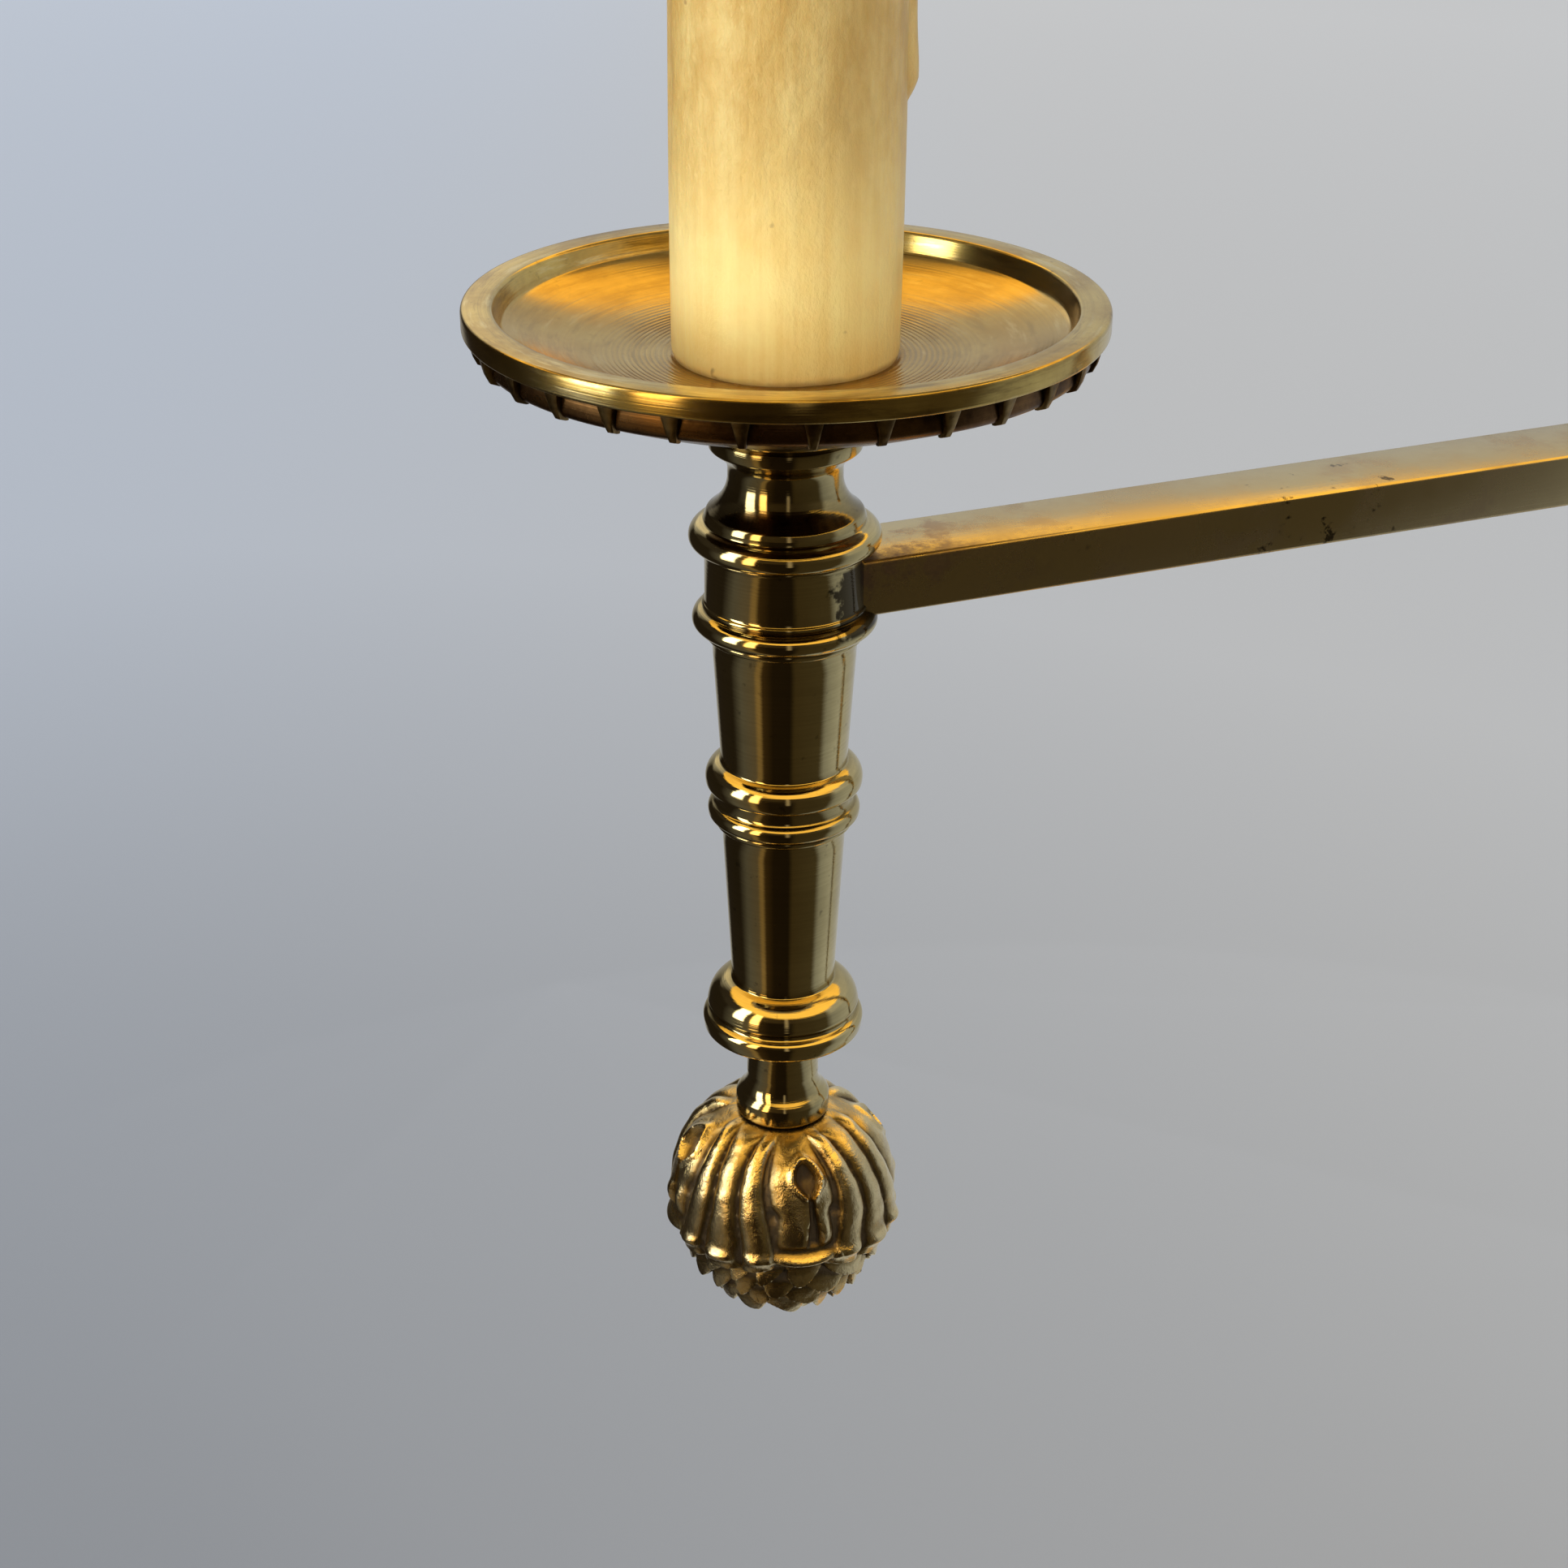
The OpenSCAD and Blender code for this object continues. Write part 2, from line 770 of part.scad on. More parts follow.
module pan_cup() {
    band_z = pan_h - pan_band_h;
    floor_r = pan_r - pan_skirt_in - flute_depth;
    color(dark_brass) on_column(neck_top) difference() {
        union() {
            turned() difference() {
                polygon([
                    [0, 0],
                    [pan_seat_r, 0],
                    [floor_r, band_z - pan_skirt_h + flute_depth],
                    [floor_r, band_z],
                    [0, band_z]
                ]);
                dish_underside(joint_gap);
            }
            for (i = [0 : flute_count - 1]) rotate([0, 0, i * 360 / flute_count]) cup_rib();
        }
        hole(nipple_r + joint_gap, -cut, pan_h);
    }
}

module wire_nipple() {
    color(steel) on_column() difference() {
        hole(nipple_r, nipple_bottom, nipple_top - nipple_bottom);
        hole(nipple_bore_r, nipple_bottom - cut, nipple_top);
    }
}

module candle_sleeve() {
    color(cream) on_column() difference() {
        hole(candle_r, dish_floor, candle_len);
        hole(candle_r - candle_wall, dish_floor - cut, candle_len + 2 * cut);
    }
}

module lampholder() {
    color(black) on_column() difference() {
        union() {
            hole(holder_r, holder_bottom, holder_h - holder_neck_h);
            hole(holder_neck_r, holder_bottom, holder_top - holder_bottom);
        }
        hole(nipple_r + joint_gap, holder_bottom - cut, holder_thread_h + cut);
        hole(wire_hole_r, holder_bottom, holder_h);
        hole(socket_r, holder_top - socket_depth, socket_depth + cut);
    }
}

module socket_shell() {
    shell_h = socket_depth - contact_h - socket_inset;
    color(dark_brass) on_column() difference() {
        hole(socket_r - joint_gap, holder_top - socket_depth + contact_h, shell_h);
        hole(socket_r - joint_gap - socket_wall, holder_top - socket_depth, socket_depth + cut);
    }
}

module centre_contact() {
    color(dark_brass) on_column() hole(contact_r, holder_top - socket_depth, contact_h);
}

module bulb_cap() {
    color(steel) on_column() difference() {
        hole(cap_r, cap_top - cap_h, cap_h);
        hole(cap_r - cap_wall, cap_top - cap_h + cap_wall, cap_h);
    }
}

// Arc of a half profile through radius r at the belly and radius end_r at a height above or below it
module belly_arc(r, end_r, belly_z, rise, wall) {
    out = r - end_r;
    arc_r = (rise * rise + out * out) / (2 * out);
    translate([r - arc_r, belly_z]) circle(arc_r - wall);
}

// Outline of the candle shaped glass, drawn in by a wall thickness
module glass_profile(wall) {
    belly_z = bulb_belly_h;
    core(glass_neck_r - wall, -glass_neck_h - wall, glass_neck_h + wall + cut);
    intersection() {
        belly_arc(bulb_r, glass_neck_r, belly_z, belly_z, wall);
        core(bulb_r, 0, belly_z);
    }
    intersection() {
        belly_arc(bulb_r, glass_tip_r, belly_z, bulb_h - belly_z, wall);
        core(bulb_r, belly_z, bulb_h - belly_z - wall);
    }
}

module bulb_glass() {
    color(clear) on_column(bulb_z) turned() difference() {
        glass_profile(0);
        glass_profile(glass_t);
    }
}

module filament() {
    color(white) on_column() {
        hole(filament_stem_r, cap_top - cap_h + cap_wall, filament_z - cap_top + cap_h - cap_wall);
        hole(filament_at + filament_r + filament_disc_edge, filament_z, filament_disc_h);
        for (i = [0 : filament_count - 1]) rotate([0, 0, i * 360 / filament_count])
            translate([filament_at, 0, 0]) hole(filament_r, filament_z, filament_h);
    }
}

module shade_bracket() {
    color(brass) on_column(candle_top) difference() {
        union() {
            cylinder(r = bracket_ring_r, h = bracket_t);
            translate([-bracket_w / 2, -leg_face, 0]) cube([bracket_w, 2 * leg_face, bracket_t]);
            for (y = [-leg_face, leg_face - bracket_t]) translate([-bracket_w / 2, y, 0])
                cube([bracket_w, bracket_t, pivot_z - candle_top + leg_head]);
        }
        hole(holder_neck_r + joint_gap, -cut, bracket_t + 2 * cut);
        translate([0, 0, pivot_z - candle_top]) rotate([90, 0, 0])
            cylinder(r = pivot_r + joint_gap, h = 2 * shade_r, center = true);
    }
}

module bracket_nut() {
    color(brass) on_column(candle_top + bracket_t) difference() {
        turned() {
            core(bracket_nut_r - edge_swell, 0, bracket_nut_h);
            bead(bracket_nut_r, bracket_nut_r - edge_swell, bracket_nut_h, bracket_nut_h / 2);
        }
        hole(holder_neck_r + joint_gap, -cut, bracket_nut_h + 2 * cut);
    }
}

module pivot_screws() {
    head_at = pivot_wall_r + pivot_bush_out + pivot_gap;
    color(brass) on_column(pivot_z) for (turn = [-90, 90]) rotate([turn, 0, 0]) {
        hole(pivot_r, leg_face - bracket_t - pivot_tail, head_at - leg_face + bracket_t + pivot_tail);
        hole(pivot_head_r, head_at, pivot_head_h);
    }
}

module stem_upper() {
    color(brass) on_column(stem_upper_bottom) difference() {
        cylinder(r1 = stem_upper_end_r, r2 = stem_upper_r, h = stem_upper_h);
        hole(rod_r + joint_gap, -cut, stem_upper_h + 2 * cut);
    }
}

module mid_rings() {
    color(brass) on_column(stem_upper_bottom) difference() {
        turned() {
            core(mid_core_r, -mid_rings_h, mid_rings_h);
            bead(mid_ring_r, mid_core_r, mid_ring_h, -mid_ring_z);
            bead(mid_ring_r - mid_ring_step, mid_core_r, mid_ring_small_h, -mid_ring_small_z);
        }
        hole(rod_r + joint_gap, -mid_rings_h - cut, mid_rings_h + 2 * cut);
    }
}

module stem_lower() {
    color(brass) on_column(stem_lower_bottom) difference() {
        cylinder(r1 = stem_lower_r, r2 = stem_lower_start_r, h = stem_lower_h);
        hole(rod_r + joint_gap, -cut, stem_lower_h + 2 * cut);
    }
}

module lower_ring() {
    color(brass) on_column(stem_lower_bottom) difference() {
        turned() {
            core(spool_waist_r, -lower_ring_h, lower_ring_h);
            core(stem_lower_r, -lower_bowl_z, lower_bowl_z);
            bead(lower_torus_r, stem_lower_r, lower_torus_h, -lower_torus_z);
            bead(lower_disc_r, stem_lower_r, lower_disc_h, -lower_disc_z);
            intersection() {
                translate([lower_disc_r - lower_bowl_r, -lower_bowl_z]) circle(lower_bowl_r);
                core(lower_disc_r, -lower_ring_h, lower_ring_h - lower_bowl_z);
            }
        }
        hole(rod_r + joint_gap, -lower_ring_h - cut, lower_ring_h + 2 * cut);
    }
}

// Waisted spool that hangs below its seat
module spool_shape() {
    difference() {
        turned() difference() {
            core(spool_foot_r, -spool_h, spool_h);
            translate([spool_waist_r + spool_cove_r, 0]) circle(spool_cove_r);
        }
        hole(rod_r + joint_gap, -spool_h - cut, spool_h + 2 * cut);
    }
}

module finial_spool() {
    color(brass) on_column(lower_ring_bottom) spool_shape();
}

// Ball of hanging leaves over a cone of scales, hanging below its seat
module finial_shape() {
    difference() {
        turned() {
            intersection() {
                translate([0, -finial_ball_z]) circle(finial_r);
                core(finial_r, -finial_lip_z, finial_lip_z);
            }
            bead(finial_r + finial_lip_out, finial_cone_r, finial_lip_h, -finial_lip_z);
            intersection() {
                translate([0, finial_cone_r - finial_h]) circle(finial_cone_r);
                core(finial_cone_r, -finial_h, finial_h - finial_ball_z);
            }
        }
        hole(rod_r + joint_gap, -finial_bore_h, finial_bore_h + cut);
    }
}

module finial() {
    color(brass) on_column(spool_bottom) finial_shape();
}

module tie_rod() {
    color(steel) on_column() hole(rod_r, rod_bottom, rod_top - rod_bottom);
}

module shade_wall_profile() {
    polygon([
        [shade_r - shade_wall, 0],
        [shade_r, 0],
        [shade_top_r, shade_h],
        [shade_top_r - shade_wall, shade_h]
    ]);
}

module shade_cone() {
    color(lacquer) on_column(shade_z) difference() {
        turned() shade_wall_profile();
        translate([0, 0, pivot_rise]) rotate([90, 0, 0])
            cylinder(r = pivot_bush_r + joint_gap, h = 2 * shade_r + cut, center = true);
    }
}

// Rolled wire rim that grips the edge of the shade
module rim_wire(r, z) {
    turned() difference() {
        translate([r - shade_wall / 2, z]) circle(rim_wire_r);
        shade_wall_profile();
    }
}

module shade_rim_lower() {
    color(brass) on_column(shade_z) rim_wire(shade_r, 0);
}

module shade_rim_upper() {
    color(brass) on_column(shade_z) rim_wire(shade_top_r, shade_h);
}

module shade_bushes() {
    color(brass) on_column(pivot_z) for (turn = [-90, 90]) rotate([turn, 0, 0]) difference() {
        hole(pivot_bush_r, pivot_wall_r - pivot_bush_in, pivot_bush_in + pivot_bush_out);
        hole(pivot_r + run_gap, 0, shade_r);
    }
}

base_felt();
base_weight();
base_shell();
foot_washer();
foot_nut();
foot_rod();
pole_foot();
pole_tube();
clamp_collar();
cord_bush();
switch_body();
switch_bezel();
switch_button();
thumbscrew();
riser_tube();
riser_slider();
hub_seat();
swing_stop_pin();
hub_spigot();
hub_cap();
finial_stud();
pole_spool();
pole_finial();
arm_hub();
hub_bushes();
arm_bar();
column_collar();
column_neck();
pan_cup();
drip_pan();
wire_nipple();
candle_sleeve();
lampholder();
socket_shell();
centre_contact();
bulb_cap();
bulb_glass();
filament();
shade_bracket();
bracket_nut();
pivot_screws();
stem_upper();
mid_rings();
stem_lower();
lower_ring();
finial_spool();
finial();
tie_rod();
shade_cone();
shade_rim_lower();
shade_rim_upper();
shade_bushes();
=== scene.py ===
import math

import bmesh
import bpy
import numpy as np
from mathutils import Matrix, Vector


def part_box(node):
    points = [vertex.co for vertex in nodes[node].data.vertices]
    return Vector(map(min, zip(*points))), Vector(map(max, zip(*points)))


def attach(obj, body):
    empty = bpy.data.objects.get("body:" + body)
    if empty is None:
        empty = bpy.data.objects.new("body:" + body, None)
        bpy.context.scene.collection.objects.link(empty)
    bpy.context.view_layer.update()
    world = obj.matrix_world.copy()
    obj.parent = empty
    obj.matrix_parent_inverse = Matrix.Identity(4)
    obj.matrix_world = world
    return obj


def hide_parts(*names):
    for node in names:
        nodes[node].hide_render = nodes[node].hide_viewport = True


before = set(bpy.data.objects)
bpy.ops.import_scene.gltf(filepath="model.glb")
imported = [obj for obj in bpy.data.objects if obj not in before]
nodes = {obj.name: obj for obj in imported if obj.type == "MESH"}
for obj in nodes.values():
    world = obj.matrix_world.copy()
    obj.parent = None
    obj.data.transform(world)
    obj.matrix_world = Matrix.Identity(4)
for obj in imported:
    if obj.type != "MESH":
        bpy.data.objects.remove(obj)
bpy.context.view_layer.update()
mm = 0.001  # the dictionaries of the pieces hold millimetres

panLow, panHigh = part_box("drip_pan")
columnAxis = Vector(((panLow.x + panHigh.x) / 2, 0, 0))
poleAxis = Vector((0, 0, 0))
rimZ = panHigh.z
print("frame: column at", round(columnAxis.x, 4), "rim at", round(rimZ, 4))


def addObject(name, data):
    made = bpy.data.objects.new(name, data)
    bpy.context.scene.collection.objects.link(made)
    return made


# Camera, from the level distance and height of the lens beside the candle column

photoView = {
    "back": 293.84,  # lens to the column, level
    "rise": 84.34,  # lens above the rim of the drip pan
    "turn": 22.64,  # degrees between the arm and the picture plane
    "pitch": 26.28, "roll": 0.27,
    "lens": 61.49, "sensor": 36.0, "nearest": 10.0,
}


def viewAxes(view):
    turn, pitch, roll = (math.radians(view[key]) for key in ("turn", "pitch", "roll"))
    level = Vector((math.sin(turn), math.cos(turn), 0))
    ahead = level * math.cos(pitch) - Vector((0, 0, math.sin(pitch)))
    side = Vector((math.cos(turn), -math.sin(turn), 0))
    up = side.cross(ahead)
    rolledSide = side * math.cos(roll) + up * math.sin(roll)
    rolledUp = up * math.cos(roll) - side * math.sin(roll)
    return level, ahead, rolledSide, rolledUp


def makeCamera(view):
    level, ahead, side, up = viewAxes(view)
    lens = bpy.data.cameras.new("photoLens")
    lens.lens = view["lens"]
    lens.sensor_width = view["sensor"]
    lens.clip_start = view["nearest"] * mm
    camera = addObject("photoCamera", lens)
    turn = Matrix((side, up, -ahead)).transposed().to_4x4()
    spot = columnAxis - level * view["back"] * mm + Vector((0, 0, rimZ + view["rise"] * mm))
    camera.matrix_world = Matrix.Translation(spot) @ turn
    bpy.context.scene.camera = camera
    return camera


camera = makeCamera(photoView)


# Small helpers for node trees

def feed(tree, socket, value):
    if isinstance(value, bpy.types.NodeSocket):
        tree.links.new(value, socket)
    else:
        socket.default_value = value


def put(tree, kind, inputs=None, **settings):
    made = tree.nodes.new(kind)
    for name, value in settings.items():
        setattr(made, name, value)
    for name, value in (inputs or {}).items():
        feed(tree, made.inputs[name], value)
    return made


def reckon(tree, operation, a, b=0.0, clamp=False):
    return put(tree, "ShaderNodeMath", {0: a, 1: b}, operation=operation, use_clamp=clamp).outputs[0]


def plus(tree, a, b, clamp=False):
    return reckon(tree, "ADD", a, b, clamp)


def minus(tree, a, b):
    return reckon(tree, "SUBTRACT", a, b)


def times(tree, a, b, clamp=False):
    return reckon(tree, "MULTIPLY", a, b, clamp)


def sway(tree, noise, amount):
    # the noise swung about nought
    return times(tree, minus(tree, noise, 0.5), amount)


def rgb(colour):
    return (*colour, 1)


def mixColour(tree, share, a, b, mode="MIX"):
    a, b = (rgb(end) if isinstance(end, tuple) else end for end in (a, b))
    made = put(tree, "ShaderNodeMix", {0: share, 6: a, 7: b}, data_type="RGBA", blend_type=mode)
    return made.outputs[2]


def rise(tree, value, low, high, top=1.0):
    inputs = {"Value": value, "From Min": low, "From Max": high, "To Min": 0.0, "To Max": top}
    return put(tree, "ShaderNodeMapRange", inputs, interpolation_type="SMOOTHSTEP").outputs[0]


def blotch(tree, place, scale, detail=3.0, rough=0.55, flat=False):
    inputs = {"Vector": place, "Scale": scale, "Detail": detail, "Roughness": rough}
    return put(tree, "ShaderNodeTexNoise", inputs, noise_dimensions="2D" if flat else "3D").outputs[0]


def mark(tree, place, noise):
    # noise: its scale, detail and roughness, then the values between which the mark fades in
    scale, detail, rough, low, high = noise
    return rise(tree, blotch(tree, place, scale, detail, rough), low, high)


def placeOn(tree, centre=(0, 0, 0), stretch=(1, 1, 1)):
    coords = put(tree, "ShaderNodeTexCoord").outputs["Object"]
    shift = [-c * s for c, s in zip(centre, stretch)]
    return put(tree, "ShaderNodeMapping", {"Vector": coords, "Location": shift, "Scale": stretch}).outputs[0]


def alongAxes(tree, place):
    return put(tree, "ShaderNodeSeparateXYZ", {0: place}).outputs


def vectorOf(tree, parts):
    return put(tree, "ShaderNodeCombineXYZ", parts).outputs[0]


def lengthOf(tree, vector):
    return put(tree, "ShaderNodeVectorMath", {0: vector}, operation="LENGTH").outputs["Value"]


def openness(tree, reach):
    return put(tree, "ShaderNodeAmbientOcclusion", {"Distance": reach * mm}, samples=6).outputs["AO"]


def colourStops(tree, value, stops, easing="EASE"):
    ramp = put(tree, "ShaderNodeValToRGB", {"Fac": value})
    ramp.color_ramp.interpolation = easing
    while len(ramp.color_ramp.elements) < len(stops):
        ramp.color_ramp.elements.new(1.0)
    for element, (spot, colour) in zip(ramp.color_ramp.elements, stops):
        element.position = spot
        element.color = rgb(colour)
    return ramp.outputs[0]


def bumpOf(tree, height, depth):
    inputs = {"Height": height, "Distance": depth * mm, "Strength": 1.0}
    return put(tree, "ShaderNodeBump", inputs).outputs[0]


def startFinish(name):
    finish = bpy.data.materials.new(name)
    finish.use_nodes = True
    return finish, finish.node_tree, finish.node_tree.nodes["Principled BSDF"]


def setShader(tree, shader, values):
    for name, value in values.items():
        feed(tree, shader.inputs[name], value)


# Brass turned on a lathe: rings about the axis, patina in drifts, grime and painted shade in the corners
# A span is the pair of values between which a mark fades in, a tone is how strong it gets

def arcStreaks(tree, level, depth, cut):
    # streaks that run a little way round the piece
    outward = put(tree, "ShaderNodeVectorMath", {0: level}, operation="NORMALIZE").outputs[0]
    inputs = {0: outward, "Scale": cut["short"]}
    outward = put(tree, "ShaderNodeVectorMath", inputs, operation="SCALE").outputs[0]
    deep = vectorOf(tree, {2: times(tree, depth, cut["fine"])})
    return blotch(tree, put(tree, "ShaderNodeVectorMath", {0: outward, 1: deep}).outputs[0], 1.0, 5.0, 0.68)


def solderBurn(tree, place, radius, solder):
    # burnt patches on the side that faces the bar
    apart = alongAxes(tree, place)
    toBar = reckon(tree, "DIVIDE", apart[0], radius)
    ragged = sway(tree, blotch(tree, place, solder["patches"], 4.0, 0.65), solder["ragged"])
    burn = rise(tree, plus(tree, toBar, ragged), solder["from"], solder["to"])
    offCentre = reckon(tree, "ABSOLUTE", minus(tree, apart[2], solder["height"]))
    return times(tree, burn, rise(tree, offCentre, solder["reach"] * solder["fade"], solder["reach"]))


def toolGrooves(tree, radius, rings, drift, cut):
    # tool marks that fade towards the rim: how they shade the metal, and their height
    wave = reckon(tree, "SINE", times(tree, radius, 2 * math.pi / (cut["pitch"] * mm)))
    wave = plus(tree, times(tree, wave, cut["wave"]), times(tree, rings, cut["ringWave"]))
    inside = rise(tree, radius, cut["from"] * mm, cut["to"] * mm)
    uneven = times(tree, inside, plus(tree, times(tree, drift, cut["uneven"]), cut["least"]))
    shade = times(tree, rise(tree, wave, *cut["span"], cut["tone"]), uneven)
    return shade, times(tree, wave, times(tree, inside, cut["height"]))


def turnedBrass(name, axis, look, solder=None):
    finish, tree, shader = startFinish(name)
    place = placeOn(tree, axis)
    apart = alongAxes(tree, place)
    level = vectorOf(tree, {0: apart[0], 1: apart[1]})
    radius = lengthOf(tree, level)
    section = vectorOf(tree, {0: radius, 1: apart[2]})
    rings = blotch(tree, section, look["rings"], 3.0, 0.7, flat=True)
    hair = blotch(tree, section, look["rings"] * look["hair"], 2.0, 0.6, flat=True)
    drift = rise(tree, blotch(tree, place, look["mottle"], 5.0, 0.62), *look["driftSpan"])
    speck = mark(tree, place, look["speck"])
    # dirt and painted shade: darker where ambient occlusion finds the surface enclosed within a few
    # millimetres
    nook = rise(tree, openness(tree, look["nook"]), *look["nookSpan"])
    dirtAndShade = times(tree, nook, plus(tree, drift, look["nookDirtAndShade"]), True)
    colour = mixColour(tree, times(tree, drift, look["patina"]), look["gold"], look["brown"])
    colour = mixColour(tree, times(tree, speck, look["speckTone"]), colour, look["grimeAndShade"])
    colour = mixColour(tree, rise(tree, rings, *look["ringSpan"], look["ringTone"]), colour, look["brown"])
    colour = mixColour(tree, times(tree, dirtAndShade, look["dirtAndShade"]), colour, look["grimeAndShade"])
    if "arcs" in look:
        cut = look["arcs"]
        streak = arcStreaks(tree, level, plus(tree, radius, apart[2]), cut)
        colour = mixColour(tree, rise(tree, streak, *cut["darkSpan"], cut["tone"]), colour, cut["dark"])
        colour = mixColour(tree, rise(tree, streak, *cut["paleSpan"], cut["tone"]), colour, cut["pale"])
    if "shadeReach" in look:  # painted shade under the pan and in enclosed places, with tarnish
        underShade = rise(tree, openness(tree, look["shadeReach"]), *look["shadeReachSpan"], look["shadeTarnishTone"])
        colour = mixColour(tree, underShade, colour, look["shadeTarnish"])
    if solder:
        burn = solderBurn(tree, place, radius, solder)
        colour = mixColour(tree, times(tree, burn, solder["tone"]), colour, look["grimeAndShade"])
    rough = plus(tree, look["gloss"], times(tree, drift, look["driftRough"]))
    rough = plus(tree, rough, times(tree, hair, look["hairRough"]))
    rough = plus(tree, rough, times(tree, dirtAndShade, look["dirtAndShadeRough"]), True)
    height = plus(tree, rings, times(tree, hair, look["hairHeight"]))
    if "grooves" in look:
        cut = look["grooves"]
        shade, marks = toolGrooves(tree, radius, rings, drift, cut)
        stained = rise(tree, radius, cut["edge"] * mm, (cut["edge"] - cut["edgeWidth"]) * mm)
        colour = mixColour(tree, times(tree, stained, cut["stainTone"]), colour, cut["stain"])
        colour = mixColour(tree, shade, colour, cut["deep"])
        height = plus(tree, height, marks)
    if "brushed" in look:
        around = put(tree, "ShaderNodeTangent", direction_type="RADIAL", axis="Z").outputs[0]
        setShader(tree, shader, {
            "Anisotropic": look["brushed"], "Anisotropic Rotation": 0.25, "Tangent": around,
        })
    setShader(tree, shader, {
        "Base Color": colour, "Metallic": 1.0, "Roughness": rough,
        "Normal": bumpOf(tree, height, look["ringDepth"]),
    })
    return finish


brassLook = {
    "gold": (0.74, 0.60, 0.29), "brown": (0.44, 0.34, 0.15), "grimeAndShade": (0.030, 0.021, 0.012),
    "gloss": 0.02, "patina": 0.5, "driftSpan": (0.36, 0.68), "mottle": 62.0,
    "rings": 2300.0, "ringDepth": 0.013, "ringTone": 0.22, "ringSpan": (0.62, 0.35),
    "hair": 3.7, "hairHeight": 0.35,  # hair lines to one ring, and their share of its height
    "speck": (640.0, 3.0, 0.6, 0.64, 0.74), "speckTone": 0.4,
    # reach, span and strength of the dirt and painted shade in tight corners
    "nook": 2.2, "nookSpan": (0.86, 0.42), "nookDirtAndShade": 0.55, "dirtAndShade": 0.85,
    "driftRough": 0.05, "hairRough": 0.05, "dirtAndShadeRough": 0.12,
}
dishLook = {
    **brassLook, "gold": (0.78, 0.57, 0.18), "brown": (0.46, 0.30, 0.09), "brushed": 0.6,
    "gloss": 0.15, "patina": 0.85, "mottle": 95.0, "nook": 2.3, "dirtAndShade": 0.95,
    "rings": 1250.0, "ringDepth": 0.020, "ringTone": 0.3,
    "grooves": {"pitch": 0.62, "from": 23.5, "to": 18.0, "wave": 0.5, "ringWave": 0.9, "height": 1.2,
                "tone": 0.5, "span": (0.75, 0.1), "uneven": 0.6, "least": 0.35,
                "deep": (0.30, 0.22, 0.12), "stain": (0.62, 0.40, 0.11), "stainTone": 0.6,
                "edge": 32.6, "edgeWidth": 0.8},
    "arcs": {"short": 2.6, "fine": 520.0, "tone": 0.75, "dark": (0.30, 0.19, 0.06), "darkSpan": (0.50, 0.68),
             "pale": (0.90, 0.74, 0.38), "paleSpan": (0.46, 0.30)},
}
# the cup and its ribs under the pan: much darker copies of the brass, for patina and painted shade
shadedCupLook = {
    **brassLook, "gold": (0.24, 0.125, 0.045), "brown": (0.045, 0.020, 0.009), "gloss": 0.24,
    "rings": 700.0, "ringDepth": 0.03, "patina": 1.0, "nook": 3.2, "dirtAndShade": 0.9, "mottle": 190.0,
}
shadedRibLook = {
    **brassLook, "gold": (0.36, 0.245, 0.095), "brown": (0.10, 0.058, 0.024), "gloss": 0.28,
    "rings": 1400.0, "ringDepth": 0.02, "patina": 0.95, "nook": 1.4, "dirtAndShade": 0.9, "mottle": 210.0,
}
# column brass: painted shade with tarnish where the surface is enclosed, under the pan and between the rings
columnLook = {
    **brassLook, "shadeReach": 11.0, "shadeReachSpan": (0.82, 0.45),
    "shadeTarnish": (0.13, 0.085, 0.030), "shadeTarnishTone": 0.9,
}
# the neck right under the pan gets a wider reach of painted shade
shadedNeckLook = {**columnLook, "shadeReach": 26.0, "shadeTarnish": (0.10, 0.066, 0.022)}
barSolder = {
    "from": 0.20, "to": 0.32, "ragged": 1.1, "patches": 260.0, "tone": 0.93,
    "height": sum(corner.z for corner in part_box("arm_bar")) / 2, "reach": 3.7 * mm, "fade": 1.15,
}
columnBrass = turnedBrass("columnBrass", columnAxis, columnLook)
shadedNeckBrass = turnedBrass("shadedNeckBrass", columnAxis, shadedNeckLook)
poleBrass = turnedBrass("poleBrass", poleAxis, brassLook)
collarBrass = turnedBrass("collarBrass", columnAxis, columnLook, barSolder)
dishBrass = turnedBrass("dishBrass", columnAxis, dishLook)
shadedCupBrass = turnedBrass("shadedCupBrass", columnAxis, shadedCupLook)
shadedRibBrass = turnedBrass("shadedRibBrass", columnAxis, shadedRibLook)


# Drawn brass bar: lines along its length, brown blooms and black burns

barLook = {
    "gold": (0.72, 0.57, 0.29), "brown": (0.46, 0.35, 0.19), "brownTone": 0.5,
    "bloom": (0.32, 0.22, 0.17), "burn": (0.035, 0.022, 0.016), "burnTone": 0.85, "gloss": 0.17,
    "lines": (60, 3200, 3200), "lineDepth": 0.012, "driftRough": 0.12, "bloomRough": 0.2,
    "driftMark": (38.0, 5.0, 0.65, 0.38, 0.66), "bloomMark": (120.0, 6.0, 0.7, 0.50, 0.66),
    "burnMark": (330.0, 5.0, 0.7, 0.60, 0.66), "burnZone": (24.0, 2.0, 0.5, 0.56, 0.64),
    "coldBloom": 0.3, "heatBloom": 0.6,
    "heatFrom": 24.0, "heatTo": 4.0,  # along the bar from the collar, where soldering has coloured it
}


